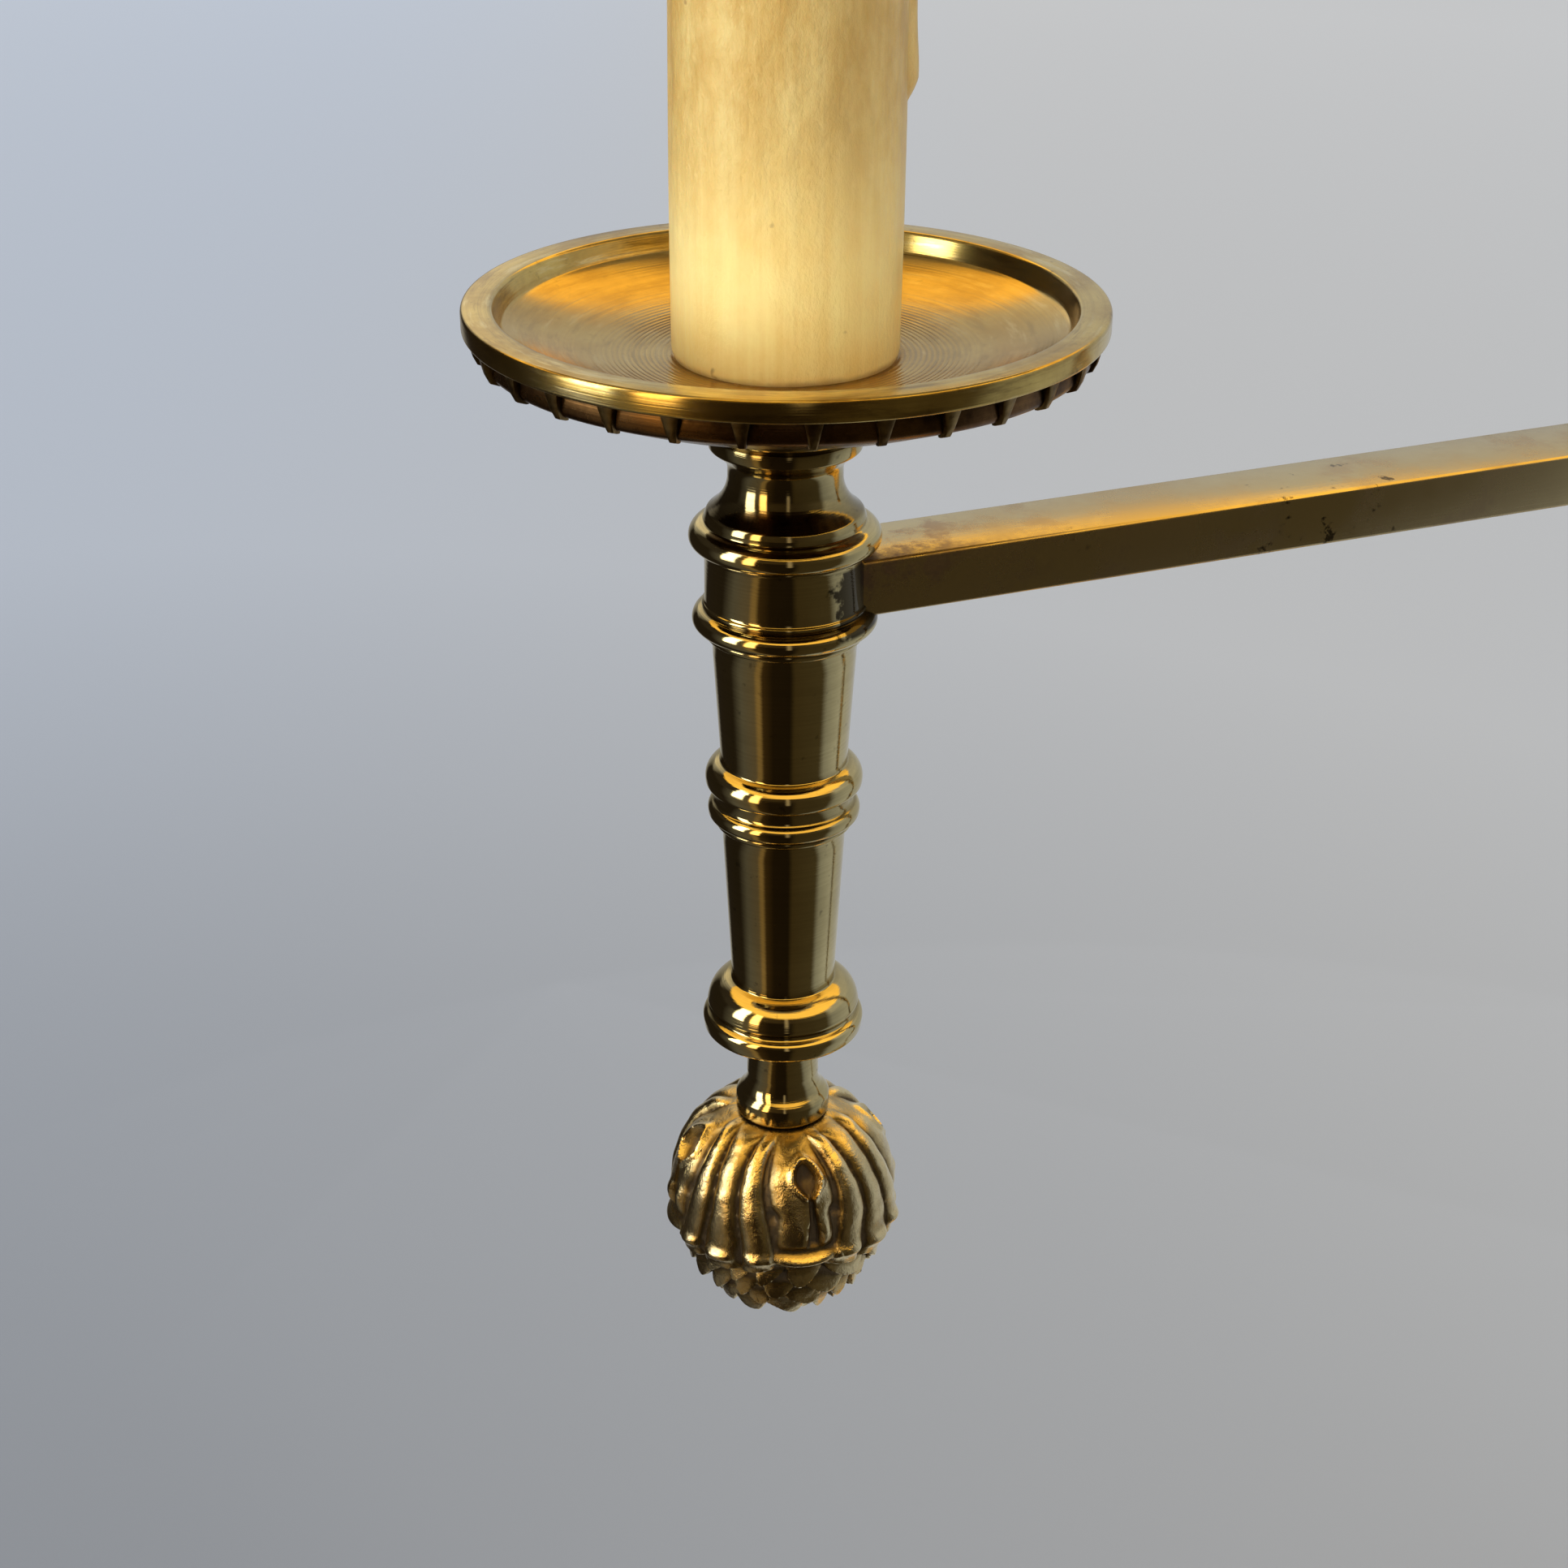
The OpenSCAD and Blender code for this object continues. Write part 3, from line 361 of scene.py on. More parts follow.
def drawnBrass(name, look):
    finish, tree, shader = startFinish(name)
    low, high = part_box("arm_bar")
    place = placeOn(tree, (low.x, 0, (low.z + high.z) / 2))
    lines = blotch(tree, placeOn(tree, stretch=look["lines"]), 1.0, 3.0, 0.6)
    drift = mark(tree, place, look["driftMark"])
    heat = rise(tree, alongAxes(tree, place)[0], look["heatFrom"] * mm, look["heatTo"] * mm)
    heat = plus(tree, times(tree, heat, look["heatBloom"]), look["coldBloom"])
    bloom = times(tree, mark(tree, place, look["bloomMark"]), heat, True)
    burn = times(tree, mark(tree, place, look["burnMark"]), mark(tree, place, look["burnZone"]))
    colour = mixColour(tree, times(tree, drift, look["brownTone"]), look["gold"], look["brown"])
    colour = mixColour(tree, bloom, colour, look["bloom"])
    colour = mixColour(tree, times(tree, burn, look["burnTone"]), colour, look["burn"])
    rough = plus(tree, look["gloss"], times(tree, drift, look["driftRough"]))
    rough = plus(tree, rough, times(tree, bloom, look["bloomRough"]), True)
    setShader(tree, shader, {
        "Base Color": colour, "Metallic": 1.0, "Roughness": rough,
        "Normal": bumpOf(tree, lines, look["lineDepth"]),
    })
    return finish


barBrass = drawnBrass("barBrass", barLook)


# Cast brass of the pine cones: worn ridges and grimy hollows, read from the mesh's own recess values

castLook = {
    "ridge": (0.92, 0.74, 0.40), "middle": (0.57, 0.43, 0.20), "hollow": (0.155, 0.110, 0.056),
    "crust": (0.135, 0.100, 0.060), "gloss": 0.11, "grainDepth": 0.17,
    "stops": {"ridge": 0.28, "middle": 0.52, "hollow": 0.74, "crust": 0.97},
    "grain": (620.0, 5.0, 0.7), "grainSway": 0.35, "drift": (170.0, 4.0, 0.6), "driftSway": 0.3,
    "wornRough": 0.34, "dullSpan": (0.6, 0.95), "dullTone": 0.25,
}


def castBrass(name, look):
    finish, tree, shader = startFinish(name)
    place = placeOn(tree)
    recess = put(tree, "ShaderNodeAttribute", attribute_name="recess").outputs["Fac"]
    grain = blotch(tree, place, *look["grain"])
    drift = blotch(tree, place, *look["drift"])
    worn = plus(tree, recess, sway(tree, grain, look["grainSway"]))
    worn = plus(tree, worn, sway(tree, drift, look["driftSway"]), True)
    colour = colourStops(tree, worn, [(at, look[key]) for key, at in look["stops"].items()])
    rough = plus(tree, look["gloss"], times(tree, worn, look["wornRough"]), True)
    dull = rise(tree, worn, *look["dullSpan"], look["dullTone"])
    metal = minus(tree, 1.0, dull)  # grime is less of a mirror
    setShader(tree, shader, {
        "Base Color": colour, "Metallic": metal, "Roughness": rough,
        "Normal": bumpOf(tree, grain, look["grainDepth"]),
    })
    return finish


coneBrass = castBrass("coneBrass", castLook)


# Candle paint: cream at the foot, painted brighter there for the light the dish throws back; darker and
# browned above, and smudged

candleLow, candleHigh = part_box("candle_sleeve")
candleLook = {
    "cream": (0.97, 0.80, 0.35), "shade": (0.88, 0.63, 0.22), "shadedAged": (0.63, 0.40, 0.11),
    "stain": (0.26, 0.13, 0.05), "smudge": (0.40, 0.24, 0.075), "gloss": 0.22, "relief": 0.5,
    "shadedAgedFrom": 5.0, "shadedAgedTo": 36.0,  # above the foot: where the bright foot turns to the painted shade and browning above
    "footFrom": -0.2, "footTo": -1.2, "footWave": 2.6,  # the stained edge of the foot
    "soot": 12.0, "sootSpan": (0.4, 0.6),  # down from the top
    "streak": ((420, 420, 16), 1.0, 4.0, 0.6),  # stretch, then scale, detail and roughness of the noise
    "cloud": ((1, 1, 1), 85.0, 5.0, 0.6),
    "leather": ((1, 1, 0.55), 430.0, 6.0, 0.66),
    "smear": ((190, 190, 26), 1.0, 5.0, 0.66),
    "speck": (300.0, 2.0, 0.5, 0.72, 0.77),
    "creamSpan": (0.33, 0.66), "smudgeSpan": (0.60, 0.72), "smudgeTone": 0.3, "smudgeLow": 0.12,
    "brown": 0.44,  # the least share of the browning and painted shade above the foot, before smears and leather
    "smearSpan": (0.36, 0.62), "smearTone": 0.36, "leatherSpan": (0.35, 0.65), "leatherTone": 0.3,
    "footTone": 0.6, "speckTone": 0.6, "sootTone": 0.5,
    "cloudRough": 0.25, "streakHeight": 0.2, "leatherHeight": 0.8,
}


def candlePaint(name, axis, look):
    finish, tree, shader = startFinish(name)
    low, high = candleLow.z, candleHigh.z
    place = placeOn(tree, axis)
    noises = (look[key] for key in ("streak", "cloud", "leather", "smear"))
    streak, cloud, leather, smear = (
        blotch(tree, placeOn(tree, axis, stretch), *noise) for stretch, *noise in noises
    )
    tone = plus(tree, times(tree, streak, 0.5), times(tree, cloud, 0.5))
    colour = mixColour(tree, rise(tree, tone, *look["creamSpan"]), look["shade"], look["cream"])
    height = alongAxes(tree, place)[2]
    # painted shade and browning: darker going up from the foot, the foot painted bright as the dish's bounced
    # light
    shadedAged = rise(tree, height, low + look["shadedAgedFrom"] * mm, low + look["shadedAgedTo"] * mm)
    smeared = rise(tree, smear, *look["smearSpan"], look["smearTone"])
    handled = plus(tree, smeared, rise(tree, leather, *look["leatherSpan"], look["leatherTone"]))
    handled = plus(tree, handled, look["brown"], True)
    colour = mixColour(tree, times(tree, shadedAged, handled), colour, look["shadedAged"])
    smudge = rise(tree, smear, *look["smudgeSpan"], look["smudgeTone"])
    smudge = times(tree, smudge, plus(tree, shadedAged, look["smudgeLow"]))
    colour = mixColour(tree, smudge, colour, look["smudge"])
    wavy = minus(tree, height, times(tree, cloud, look["footWave"] * mm))
    foot = rise(tree, wavy, low + look["footFrom"] * mm, low + look["footTo"] * mm)
    soot = rise(tree, height, high - look["soot"] * mm, high)
    soot = times(tree, soot, rise(tree, cloud, *look["sootSpan"]))
    speck = mark(tree, place, look["speck"])
    for stain, strength in ((foot, "footTone"), (speck, "speckTone"), (soot, "sootTone")):
        colour = mixColour(tree, times(tree, stain, look[strength]), colour, look["stain"])
    rough = plus(tree, look["gloss"], times(tree, cloud, look["cloudRough"]))
    relief = plus(tree, cloud, times(tree, streak, look["streakHeight"]))
    relief = plus(tree, relief, times(tree, leather, look["leatherHeight"]))
    setShader(tree, shader, {
        "Base Color": colour, "Roughness": rough, "Normal": bumpOf(tree, relief, look["relief"]),
        "Subsurface Weight": 0.12, "Subsurface Scale": 0.003,
    })
    return finish


creamPaint = candlePaint("creamPaint", columnAxis, candleLook)


# Plain finishes: two tones in a cloud, and a grain

plainLooks = {
    "bakelite": {"colour": (0.016, 0.013, 0.011), "second": (0.030, 0.022, 0.017), "cloud": 90.0,
                 "grain": 700.0, "gloss": 0.24, "spread": 0.2, "depth": 0.02},
    "zincSteel": {"colour": (0.56, 0.56, 0.54), "second": (0.42, 0.42, 0.42), "cloud": 160.0,
                  "grain": 1500.0, "gloss": 0.24, "spread": 0.2, "depth": 0.02, "metal": 1.0},
    "blackIron": {"colour": (0.050, 0.050, 0.053), "second": (0.095, 0.085, 0.078), "cloud": 120.0,
                  "grain": 500.0, "gloss": 0.5, "spread": 0.3, "depth": 0.15},
    "bushBronze": {"colour": (0.50, 0.33, 0.16), "second": (0.36, 0.23, 0.11), "cloud": 200.0,
                   "grain": 1600.0, "gloss": 0.25, "spread": 0.2, "depth": 0.015, "metal": 1.0},
    "whiteNylon": {"colour": (0.76, 0.74, 0.69), "second": (0.68, 0.66, 0.60), "cloud": 150.0,
                   "grain": 900.0, "gloss": 0.4, "spread": 0.15, "depth": 0.02},
    "greenFelt": {"colour": (0.030, 0.070, 0.045), "second": (0.050, 0.100, 0.064), "cloud": 300.0,
                  "grain": 2600.0, "gloss": 0.8, "spread": 0.2, "depth": 0.35, "sheen": 0.4},
    "bulbGlass": {"colour": (0.96, 0.98, 0.97), "second": (1.0, 1.0, 1.0), "cloud": 40.0,
                  "grain": 60.0, "gloss": 0.0, "spread": 0.03, "depth": 0.05, "clear": 1.0},
    "phosphor": {"colour": (0.86, 0.62, 0.14), "second": (0.78, 0.50, 0.08), "cloud": 500.0,
                 "grain": 2500.0, "gloss": 0.45, "spread": 0.2, "depth": 0.03},
    "ivoryPaint": {"colour": (0.80, 0.74, 0.60), "second": (0.73, 0.66, 0.51), "cloud": 45.0,
                   "grain": 800.0, "gloss": 0.42, "spread": 0.2, "depth": 0.03},
}


def plainFinish(name, look):
    finish, tree, shader = startFinish(name)
    place = placeOn(tree)
    cloud = blotch(tree, place, look["cloud"], 4.0, 0.6)
    grain = blotch(tree, place, look["grain"], 3.0, 0.6)
    colour = mixColour(tree, rise(tree, cloud, 0.32, 0.68), look["colour"], look["second"])
    rough = plus(tree, look["gloss"], times(tree, grain, look["spread"]), True)
    setShader(tree, shader, {
        "Base Color": colour, "Roughness": rough, "Normal": bumpOf(tree, grain, look["depth"]),
        "Metallic": look.get("metal", 0.0), "Sheen Weight": look.get("sheen", 0.0),
        "Transmission Weight": look.get("clear", 0.0),
    })
    return finish


plain = {name: plainFinish(name, look) for name, look in plainLooks.items()}


# Shade lacquer with gilt lines

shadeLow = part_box("shade_cone")[0]
lacquerLook = {
    "green": (0.012, 0.040, 0.026), "deep": (0.006, 0.020, 0.014), "gilt": (0.72, 0.50, 0.17), "gloss": 0.30,
    "lines": ((7.5, 1.5), (10.5, 0.5), (93.0, 1.0)),  # height above the lower rim, width
    "cloud": (34.0, 5.0, 0.6), "cloudSpan": (0.35, 0.66), "cloudRough": 0.16,
    "peel": (420.0, 2.0, 0.5), "peelDepth": 0.03, "wear": (260.0, 4.0, 0.7, 0.70, 0.60),
}


def greenLacquer(name, look):
    finish, tree, shader = startFinish(name)
    place = placeOn(tree, (columnAxis.x, 0, shadeLow.z))
    cloud = blotch(tree, place, *look["cloud"])
    peel = blotch(tree, place, *look["peel"])
    height = alongAxes(tree, place)[2]
    colour = mixColour(tree, rise(tree, cloud, *look["cloudSpan"]), look["green"], look["deep"])
    gilt = 0.0
    for at, width in look["lines"]:
        off = reckon(tree, "ABSOLUTE", minus(tree, height, at * mm))
        stripe = rise(tree, off, width * mm * 0.55, width * mm * 0.45)
        gilt = reckon(tree, "MAXIMUM", gilt, stripe)
    gilt = times(tree, gilt, mark(tree, place, look["wear"]))
    colour = mixColour(tree, gilt, colour, look["gilt"])
    rough = plus(tree, look["gloss"], times(tree, cloud, look["cloudRough"]))
    setShader(tree, shader, {
        "Base Color": colour, "Metallic": gilt, "Roughness": rough,
        "Normal": bumpOf(tree, peel, look["peelDepth"]),
        "Specular IOR Level": 0.3, "Coat Weight": 0.12, "Coat Roughness": 0.1,
    })
    return finish


shadeGreen = greenLacquer("shadeGreen", lacquerLook)
print("finishes made:", len(bpy.data.materials))


# Turned outlines: each cut is (radius, height) or (radius, height, bulge), bulge being the rise of an arc

def arcBetween(start, end, bulge):
    chord = end - start
    across = Vector((chord.y, -chord.x)).normalized()
    along = chord.normalized()
    half = 2 * math.atan(2 * abs(bulge) / chord.length)
    radius = chord.length / 2 / math.sin(half)
    sign = 1 if bulge > 0 else -1
    centre = (start + end) / 2 - across * sign * radius * math.cos(half)
    count = max(4, math.ceil(math.degrees(2 * half) / 9))
    turns = [half * (2 * k / count - 1) for k in range(1, count)]
    return [centre + (across * sign * math.cos(t) + along * math.sin(t)) * radius for t in turns]


def softCorners(line, reach=0.22, sharp=28):
    soft = [line[0]]
    for before, corner, after in zip(line, line[1:], line[2:]):
        a, b = before - corner, after - corner
        if a.length < 1e-6 or b.length < 1e-6 or math.degrees(math.pi - a.angle(b)) < sharp:
            soft.append(corner)
            continue
        start = corner + a.normalized() * min(reach, a.length * 0.42)
        end = corner + b.normalized() * min(reach, b.length * 0.42)
        soft += [start, start * 0.25 + corner * 0.5 + end * 0.25, end]
    return soft + [line[-1]]


def turnedLine(cuts, flush=False):
    line = [Vector(cuts[0][:2])]
    for cut in cuts[1:]:
        end = Vector(cut[:2])
        if len(cut) > 2:
            line += arcBetween(line[-1], end, cut[2])
        line.append(end)
    if flush:  # pieces that meet end to end keep their end corners
        return [line[0]] + softCorners(line[1:-1]) + [line[-1]]
    return softCorners(line)


# Meshes and pieces

def meshOf(name, shape):
    mesh = bpy.data.meshes.new(name)
    shape.to_mesh(mesh)
    shape.free()
    return mesh


def smoothed(mesh, sharp=35):
    mesh.shade_smooth()
    mesh.set_sharp_from_angle(angle=math.radians(sharp))
    return mesh


def facedOut(mesh):
    shape = bmesh.new()
    shape.from_mesh(mesh)
    bmesh.ops.recalc_face_normals(shape, faces=shape.faces)
    shape.to_mesh(mesh)
    shape.free()
    return smoothed(mesh)


def meshFrom(name, verts, faces):
    mesh = bpy.data.meshes.new(name)
    mesh.from_pydata([tuple(v) for v in verts], [], faces)
    return facedOut(mesh)


def joined(name, meshes):
    shape = bmesh.new()
    for mesh in meshes:
        shape.from_mesh(mesh)
    return smoothed(meshOf(name, shape))


def moveTo(mesh, axis, height=0.0):
    mesh.transform(Matrix.Translation(axis + Vector((0, 0, height))))


def turnOver(mesh, degrees, axis):
    mesh.transform(Matrix.Rotation(math.radians(degrees), 4, axis))


usualSteps = 144  # facets round a turned piece


def turnedMesh(name, cuts, steps=usualSteps, flush=False):
    line = turnedLine(cuts, flush)
    if (line[-1] - line[0]).length < 1e-4:
        line.pop()
    turns = [2 * math.pi * k / steps for k in range(steps)]
    verts, rows = [], []
    for point in line:
        if point.x < 1e-6:
            rows.append([len(verts)] * steps)
            verts.append((0, 0, point.y * mm))
        else:
            rows.append(list(range(len(verts), len(verts) + steps)))
            verts += [(point.x * mm * math.cos(t), point.x * mm * math.sin(t), point.y * mm) for t in turns]
    if line[0].x > 1e-6:  # a bore closes the section on itself
        rows.append(rows[0])
    faces = []
    for low, high in zip(rows, rows[1:]):
        for k in range(steps):
            n = (k + 1) % steps
            corners = list(dict.fromkeys((low[k], low[n], high[n], high[k])))
            if len(corners) > 2:
                faces.append(corners)
    return meshFrom(name, verts, faces)


def addPiece(name, mesh, body, slot, finishes, *replaced):
    piece = addObject(name, mesh)
    mesh.materials.clear()
    for finish in finishes:
        mesh.materials.append(finish)
    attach(piece, body)
    if replaced:
        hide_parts(*replaced)


def turnPiece(name, part, axis, finish, slot="brass"):
    mesh = turnedMesh(name, part["cuts"], part.get("steps", usualSteps), part.get("flush", False))
    moveTo(mesh, axis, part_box(part["node"])[0].z)
    addPiece(name, mesh, part["body"], slot, [finish], part["node"])


# Geometry nodes: copies of a small shape set round a ring

def ringTree():
    tree = bpy.data.node_groups.new("ringOfCopies", "GeometryNodeTree")
    sockets = {"Shape": "Object", "Count": "Int", "Radius": "Float", "Height": "Float", "Finish": "Material"}
    for name, kind in sockets.items():
        tree.interface.new_socket(name, in_out="INPUT", socket_type="NodeSocket" + kind)
    tree.interface.new_socket("Geometry", in_out="OUTPUT", socket_type="NodeSocketGeometry")
    given = put(tree, "NodeGroupInput").outputs
    shape = put(tree, "GeometryNodeObjectInfo", {"Object": given["Shape"]}).outputs["Geometry"]
    circle = {"Vertices": given["Count"], "Radius": given["Radius"]}
    ring = put(tree, "GeometryNodeMeshCircle", circle).outputs[0]
    index = put(tree, "GeometryNodeInputIndex").outputs[0]
    step = reckon(tree, "DIVIDE", 2 * math.pi, given["Count"])
    angle = vectorOf(tree, {2: times(tree, index, step)})
    facing = put(tree, "FunctionNodeEulerToRotation", {0: angle}).outputs[0]
    spread = {"Points": ring, "Instance": shape, "Rotation": facing}
    copies = put(tree, "GeometryNodeInstanceOnPoints", spread).outputs[0]
    lift = vectorOf(tree, {2: given["Height"]})
    moved = put(tree, "GeometryNodeTransform", {"Geometry": copies, "Translation": lift}).outputs[0]
    real = put(tree, "GeometryNodeRealizeInstances", {"Geometry": moved}).outputs[0]
    painted = put(tree, "GeometryNodeSetMaterial", {"Geometry": real, "Material": given["Finish"]}).outputs[0]
    put(tree, "NodeGroupOutput", {"Geometry": painted})
    return tree


copiesTree = ringTree()


def ringMesh(name, shape, count, finish, radius=0.0, height=0.0):
    host = addObject(name, bpy.data.meshes.new(name))
    model = addObject(name + "Shape", shape)
    grown = host.modifiers.new("copies", "NODES")
    grown.node_group = copiesTree
    values = {"Shape": model, "Count": count, "Radius": radius * mm, "Height": height * mm, "Finish": finish}
    for item in copiesTree.interface.items_tree:
        if item.in_out == "INPUT":
            grown[item.identifier] = values[item.name]
    solved = host.evaluated_get(bpy.context.evaluated_depsgraph_get())
    mesh = bpy.data.meshes.new_from_object(solved)
    host.modifiers.remove(grown)
    bpy.data.objects.remove(host)
    bpy.data.objects.remove(model)
    return mesh


def toothMesh(name, tooth):
    # the four corners of the root, then the four of the crest, each going round the same way
    corners = []
    for below, above, half, low, high in (tooth["root"], tooth["crest"]):
        corners += [(below, -half, low), (below, half, low), (above, half, high), (above, -half, high)]
    faces = [(0, 1, 2, 3), (4, 5, 6, 7), (0, 1, 5, 4), (1, 2, 6, 5), (2, 3, 7, 6), (3, 0, 4, 7)]
    return meshFrom(name, [Vector(c) * mm for c in corners], faces)


def milledMesh(name, part, finish):
    # root and crest of a tooth are each radius below and above, half width, height below and above
    teeth = ringMesh(name + "Teeth", toothMesh(name + "Tooth", part["tooth"]), part["teeth"], finish)
    return joined(name, [turnedMesh(name + "Body", part["cuts"], part.get("steps", usualSteps)), teeth])


def milledPiece(name, part, axis, finish):
    mesh = milledMesh(name, part, finish)
    moveTo(mesh, axis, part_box(part["node"])[0].z)
    addPiece(name, mesh, part["body"], "brass", [finish], part["node"])


def bothSides(name, mesh):
    # one copy lies along +Y, the other along -Y
    sides = []
    for degrees in (-90, 90):
        sides.append(mesh.copy())
        turnOver(sides[-1], degrees, "X")
    return joined(name, sides)


# Drip pan and its fluted cup

dripPan = {
    "node": "drip_pan", "body": "arm", "steps": 224,
    "cuts": [(5.1, 0), (18, 0), (33.4, 4.0), (33.6, 5.2), (36.2, 5.2), (36.5, 5.45), (36.5, 7.5), (36.3, 7.8),
             (33.15, 7.8), (32.9, 7.6), (32.1, 5.4), (31.6, 5.1), (14, 1.6, -0.95), (5.1, 1.6)],
}
turnPiece("dripPan", dripPan, columnAxis, dishBrass)

panCup = {
    "node": "pan_cup", "steps": 180, "ribs": 30,
    "cuts": [(5.1, 0), (9.4, 0), (9.6, 0.3), (12.2, 0.6), (33.2, 7.0, 0.6), (34.4, 7.5), (34.8, 8.1),
             (34.9, 10.4), (33.6, 10.4), (33.3, 9.1), (18, 5.15), (5.1, 5.15)],
    "rib": [(6.95, 34.0, 0.34), (7.3, 34.9, 0.40), (8.3, 35.4, 0.56), (9.4, 35.7, 0.76), (10.4, 35.9, 1.0)],
    "ribRoot": 33.6, "ribEase": 0.12,  # each rib line is height, reach, half width
}


def ribShape(part):
    root, ease = part["ribRoot"], part["ribEase"]
    verts, faces = [], []
    for height, reach, half in part["rib"]:
        right = [(root, half * 1.1, height), (reach - ease, half, height), (reach, half * 0.7, height)]
        left = [(x, -y, z) for x, y, z in right]
        verts += left + right[::-1]
    around, levels = 6, len(part["rib"])
    for i in range(levels - 1):
        for k in range(around):
            n = (k + 1) % around
            faces.append((i * around + k, i * around + n, (i + 1) * around + n, (i + 1) * around + k))
    faces += [tuple(range(around)), tuple(range((levels - 1) * around, levels * around))]
    return meshFrom("cupRib", [Vector(v) * mm for v in verts], faces)


cupRibs = ringMesh("cupRibs", ribShape(panCup), panCup["ribs"], shadedRibBrass)
cupBody = turnedMesh("cupBody", panCup["cuts"], panCup["steps"])
for mesh, name, finish in ((cupBody, "panCup", shadedCupBrass), (cupRibs, "panCupRibs", shadedRibBrass)):
    moveTo(mesh, columnAxis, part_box(panCup["node"])[0].z)
    addPiece(name, mesh, "arm", "brass", [finish])
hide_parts("pan_cup")
print("drip pan done")


# Candle column, from the neck down to the spool

columnNeck = {
    "node": "column_neck", "body": "arm", "flush": True,
    "cuts": [(5.1, 0), (9.5, 0), (9.25, 0.7), (8.95, 0.95), (6.75, 4.7, -0.5), (6.75, 5.6), (7.2, 7.1, -0.15),
             (8.6, 8.2), (8.95, 8.45), (8.95, 10.0), (8.6, 10.3), (9.3, 10.6), (9.55, 11.3, 0.1),
             (9.55, 12.6), (5.1, 12.6)],
}
columnCollar = {
    "node": "column_collar", "body": "arm", "flush": True,
    "cuts": [(3.1, 0), (8.6, 0), (8.7, 2.2), (9.4, 2.35), (9.55, 2.6), (9.55, 3.0), (9.4, 3.2), (9.6, 3.35),
             (11.0, 4.2, 0.3), (9.85, 5.9, 0.43), (9.6, 6.05), (9.85, 6.2), (9.85, 6.6), (9.53, 6.8),
             (9.53, 12.95), (10.0, 13.1), (10.0, 13.45), (9.85, 13.6), (11.35, 14.55, 0.33),
             (9.85, 16.6, 0.53), (9.5, 16.7), (9.5, 17.3), (3.1, 17.3)],
}
stemUpper = {
    "node": "stem_upper", "body": "arm", "flush": True,
    "cuts": [(3.1, 0), (7.75, 0), (8.6, 13.6), (3.1, 13.6)],
}
midRings = {
    "node": "mid_rings", "body": "arm", "flush": True,
    "cuts": [(3.1, 0), (7.52, 0), (7.62, 1.9), (8.3, 2.1), (8.5, 2.35), (8.5, 2.75), (8.35, 2.9), (8.7, 3.05),
             (9.3, 3.8, 0.2), (8.6, 5.1, 0.28), (8.35, 5.4), (8.35, 6.75), (8.9, 6.95), (9.6, 7.9, 0.2),
             (7.95, 10.35, 0.6), (7.72, 10.45), (7.75, 11.1), (3.1, 11.1)],
}
stemLower = {
    "node": "stem_lower", "body": "arm", "flush": True,
    "cuts": [(3.1, 0), (6.5, 0), (7.52, 18.9), (3.1, 18.9)],
}
lowerRing = {
    "node": "lower_ring", "body": "arm", "flush": True,
    "cuts": [(3.1, 0), (4.6, 0), (4.6, 4.0), (5.2, 4.6, -0.1), (8.6, 6.2, -0.3), (9.5, 6.6),
             (10.05, 7.2, 0.1), (10.15, 8.1), (9.6, 9.2, 0.2), (9.15, 9.4), (9.1, 9.85), (9.3, 10.1),
             (9.5, 10.9, 0.15), (6.65, 13.8, 0.7), (6.45, 13.9), (6.5, 14.9), (3.1, 14.9)],
}
finialSpool = {
    "node": "finial_spool", "body": "arm", "flush": True,
    "cuts": [(3.1, 0), (5.85, 0), (6.0, 0.2), (6.0, 2.3), (5.85, 2.5), (5.7, 2.8), (4.6, 5.7, -0.4),
             (3.1, 5.7)],
}
for name, part, finish in (("columnNeck", columnNeck, shadedNeckBrass), ("columnCollar", columnCollar, collarBrass),
                           ("stemUpper", stemUpper, columnBrass), ("midRings", midRings, columnBrass),
                           ("stemLower", stemLower, columnBrass), ("lowerRing", lowerRing, columnBrass),
                           ("finialSpool", finialSpool, columnBrass)):
    turnPiece(name, part, columnAxis, finish)
print("candle column done")


# Pine cone: leaves with eyes over the ball, scales below them

pineCone = {
    "outline": [(0, -29.8), (5.4, -28.6), (9.9, -25.5), (12.7, -21.2), (13.9, -16.8), (14.25, -12.3),
                (13.5, -7.9), (11.6, -4.1), (8.9, -1.6), (6.8, -0.55), (5.2, -0.25), (3.1, 0)],
    "leafTop": (6.8, -0.55), "leafTip": (14.0, -16.2),
    "leaves": 4, "firstLeaf": -101.6, "shortLeaf": 1.0, "tip": 1.5,
    "eye": 1.9, "eyeAt": 0.35, "eyeAside": 4.5, "eyeTall": 0.14,
    "grooveAt": (0, 0.2, 0.37, 0.51, 0.65, 0.82, 0.97),
    "petal": (12, 18, 19.5, 18.5, 15, 15.5, 13),
    "bowed": (15, 20.5, 22, 21.5, 19.5, 17, 15),
    "grooved": (30, 35, 36.5, 37, 36.5, 34, 33),
    "scaleRows": 8, "scales": 16, "scale": 2.1, "scaleSink": 1.5,
    "around": 340, "down": 260,
}


def smooth(value, low, high):
    share = np.clip((value - low) / (high - low), 0, 1)
    return share * share * (3 - 2 * share)


def hump(value, width):
    return np.exp(-(value / width) ** 2)


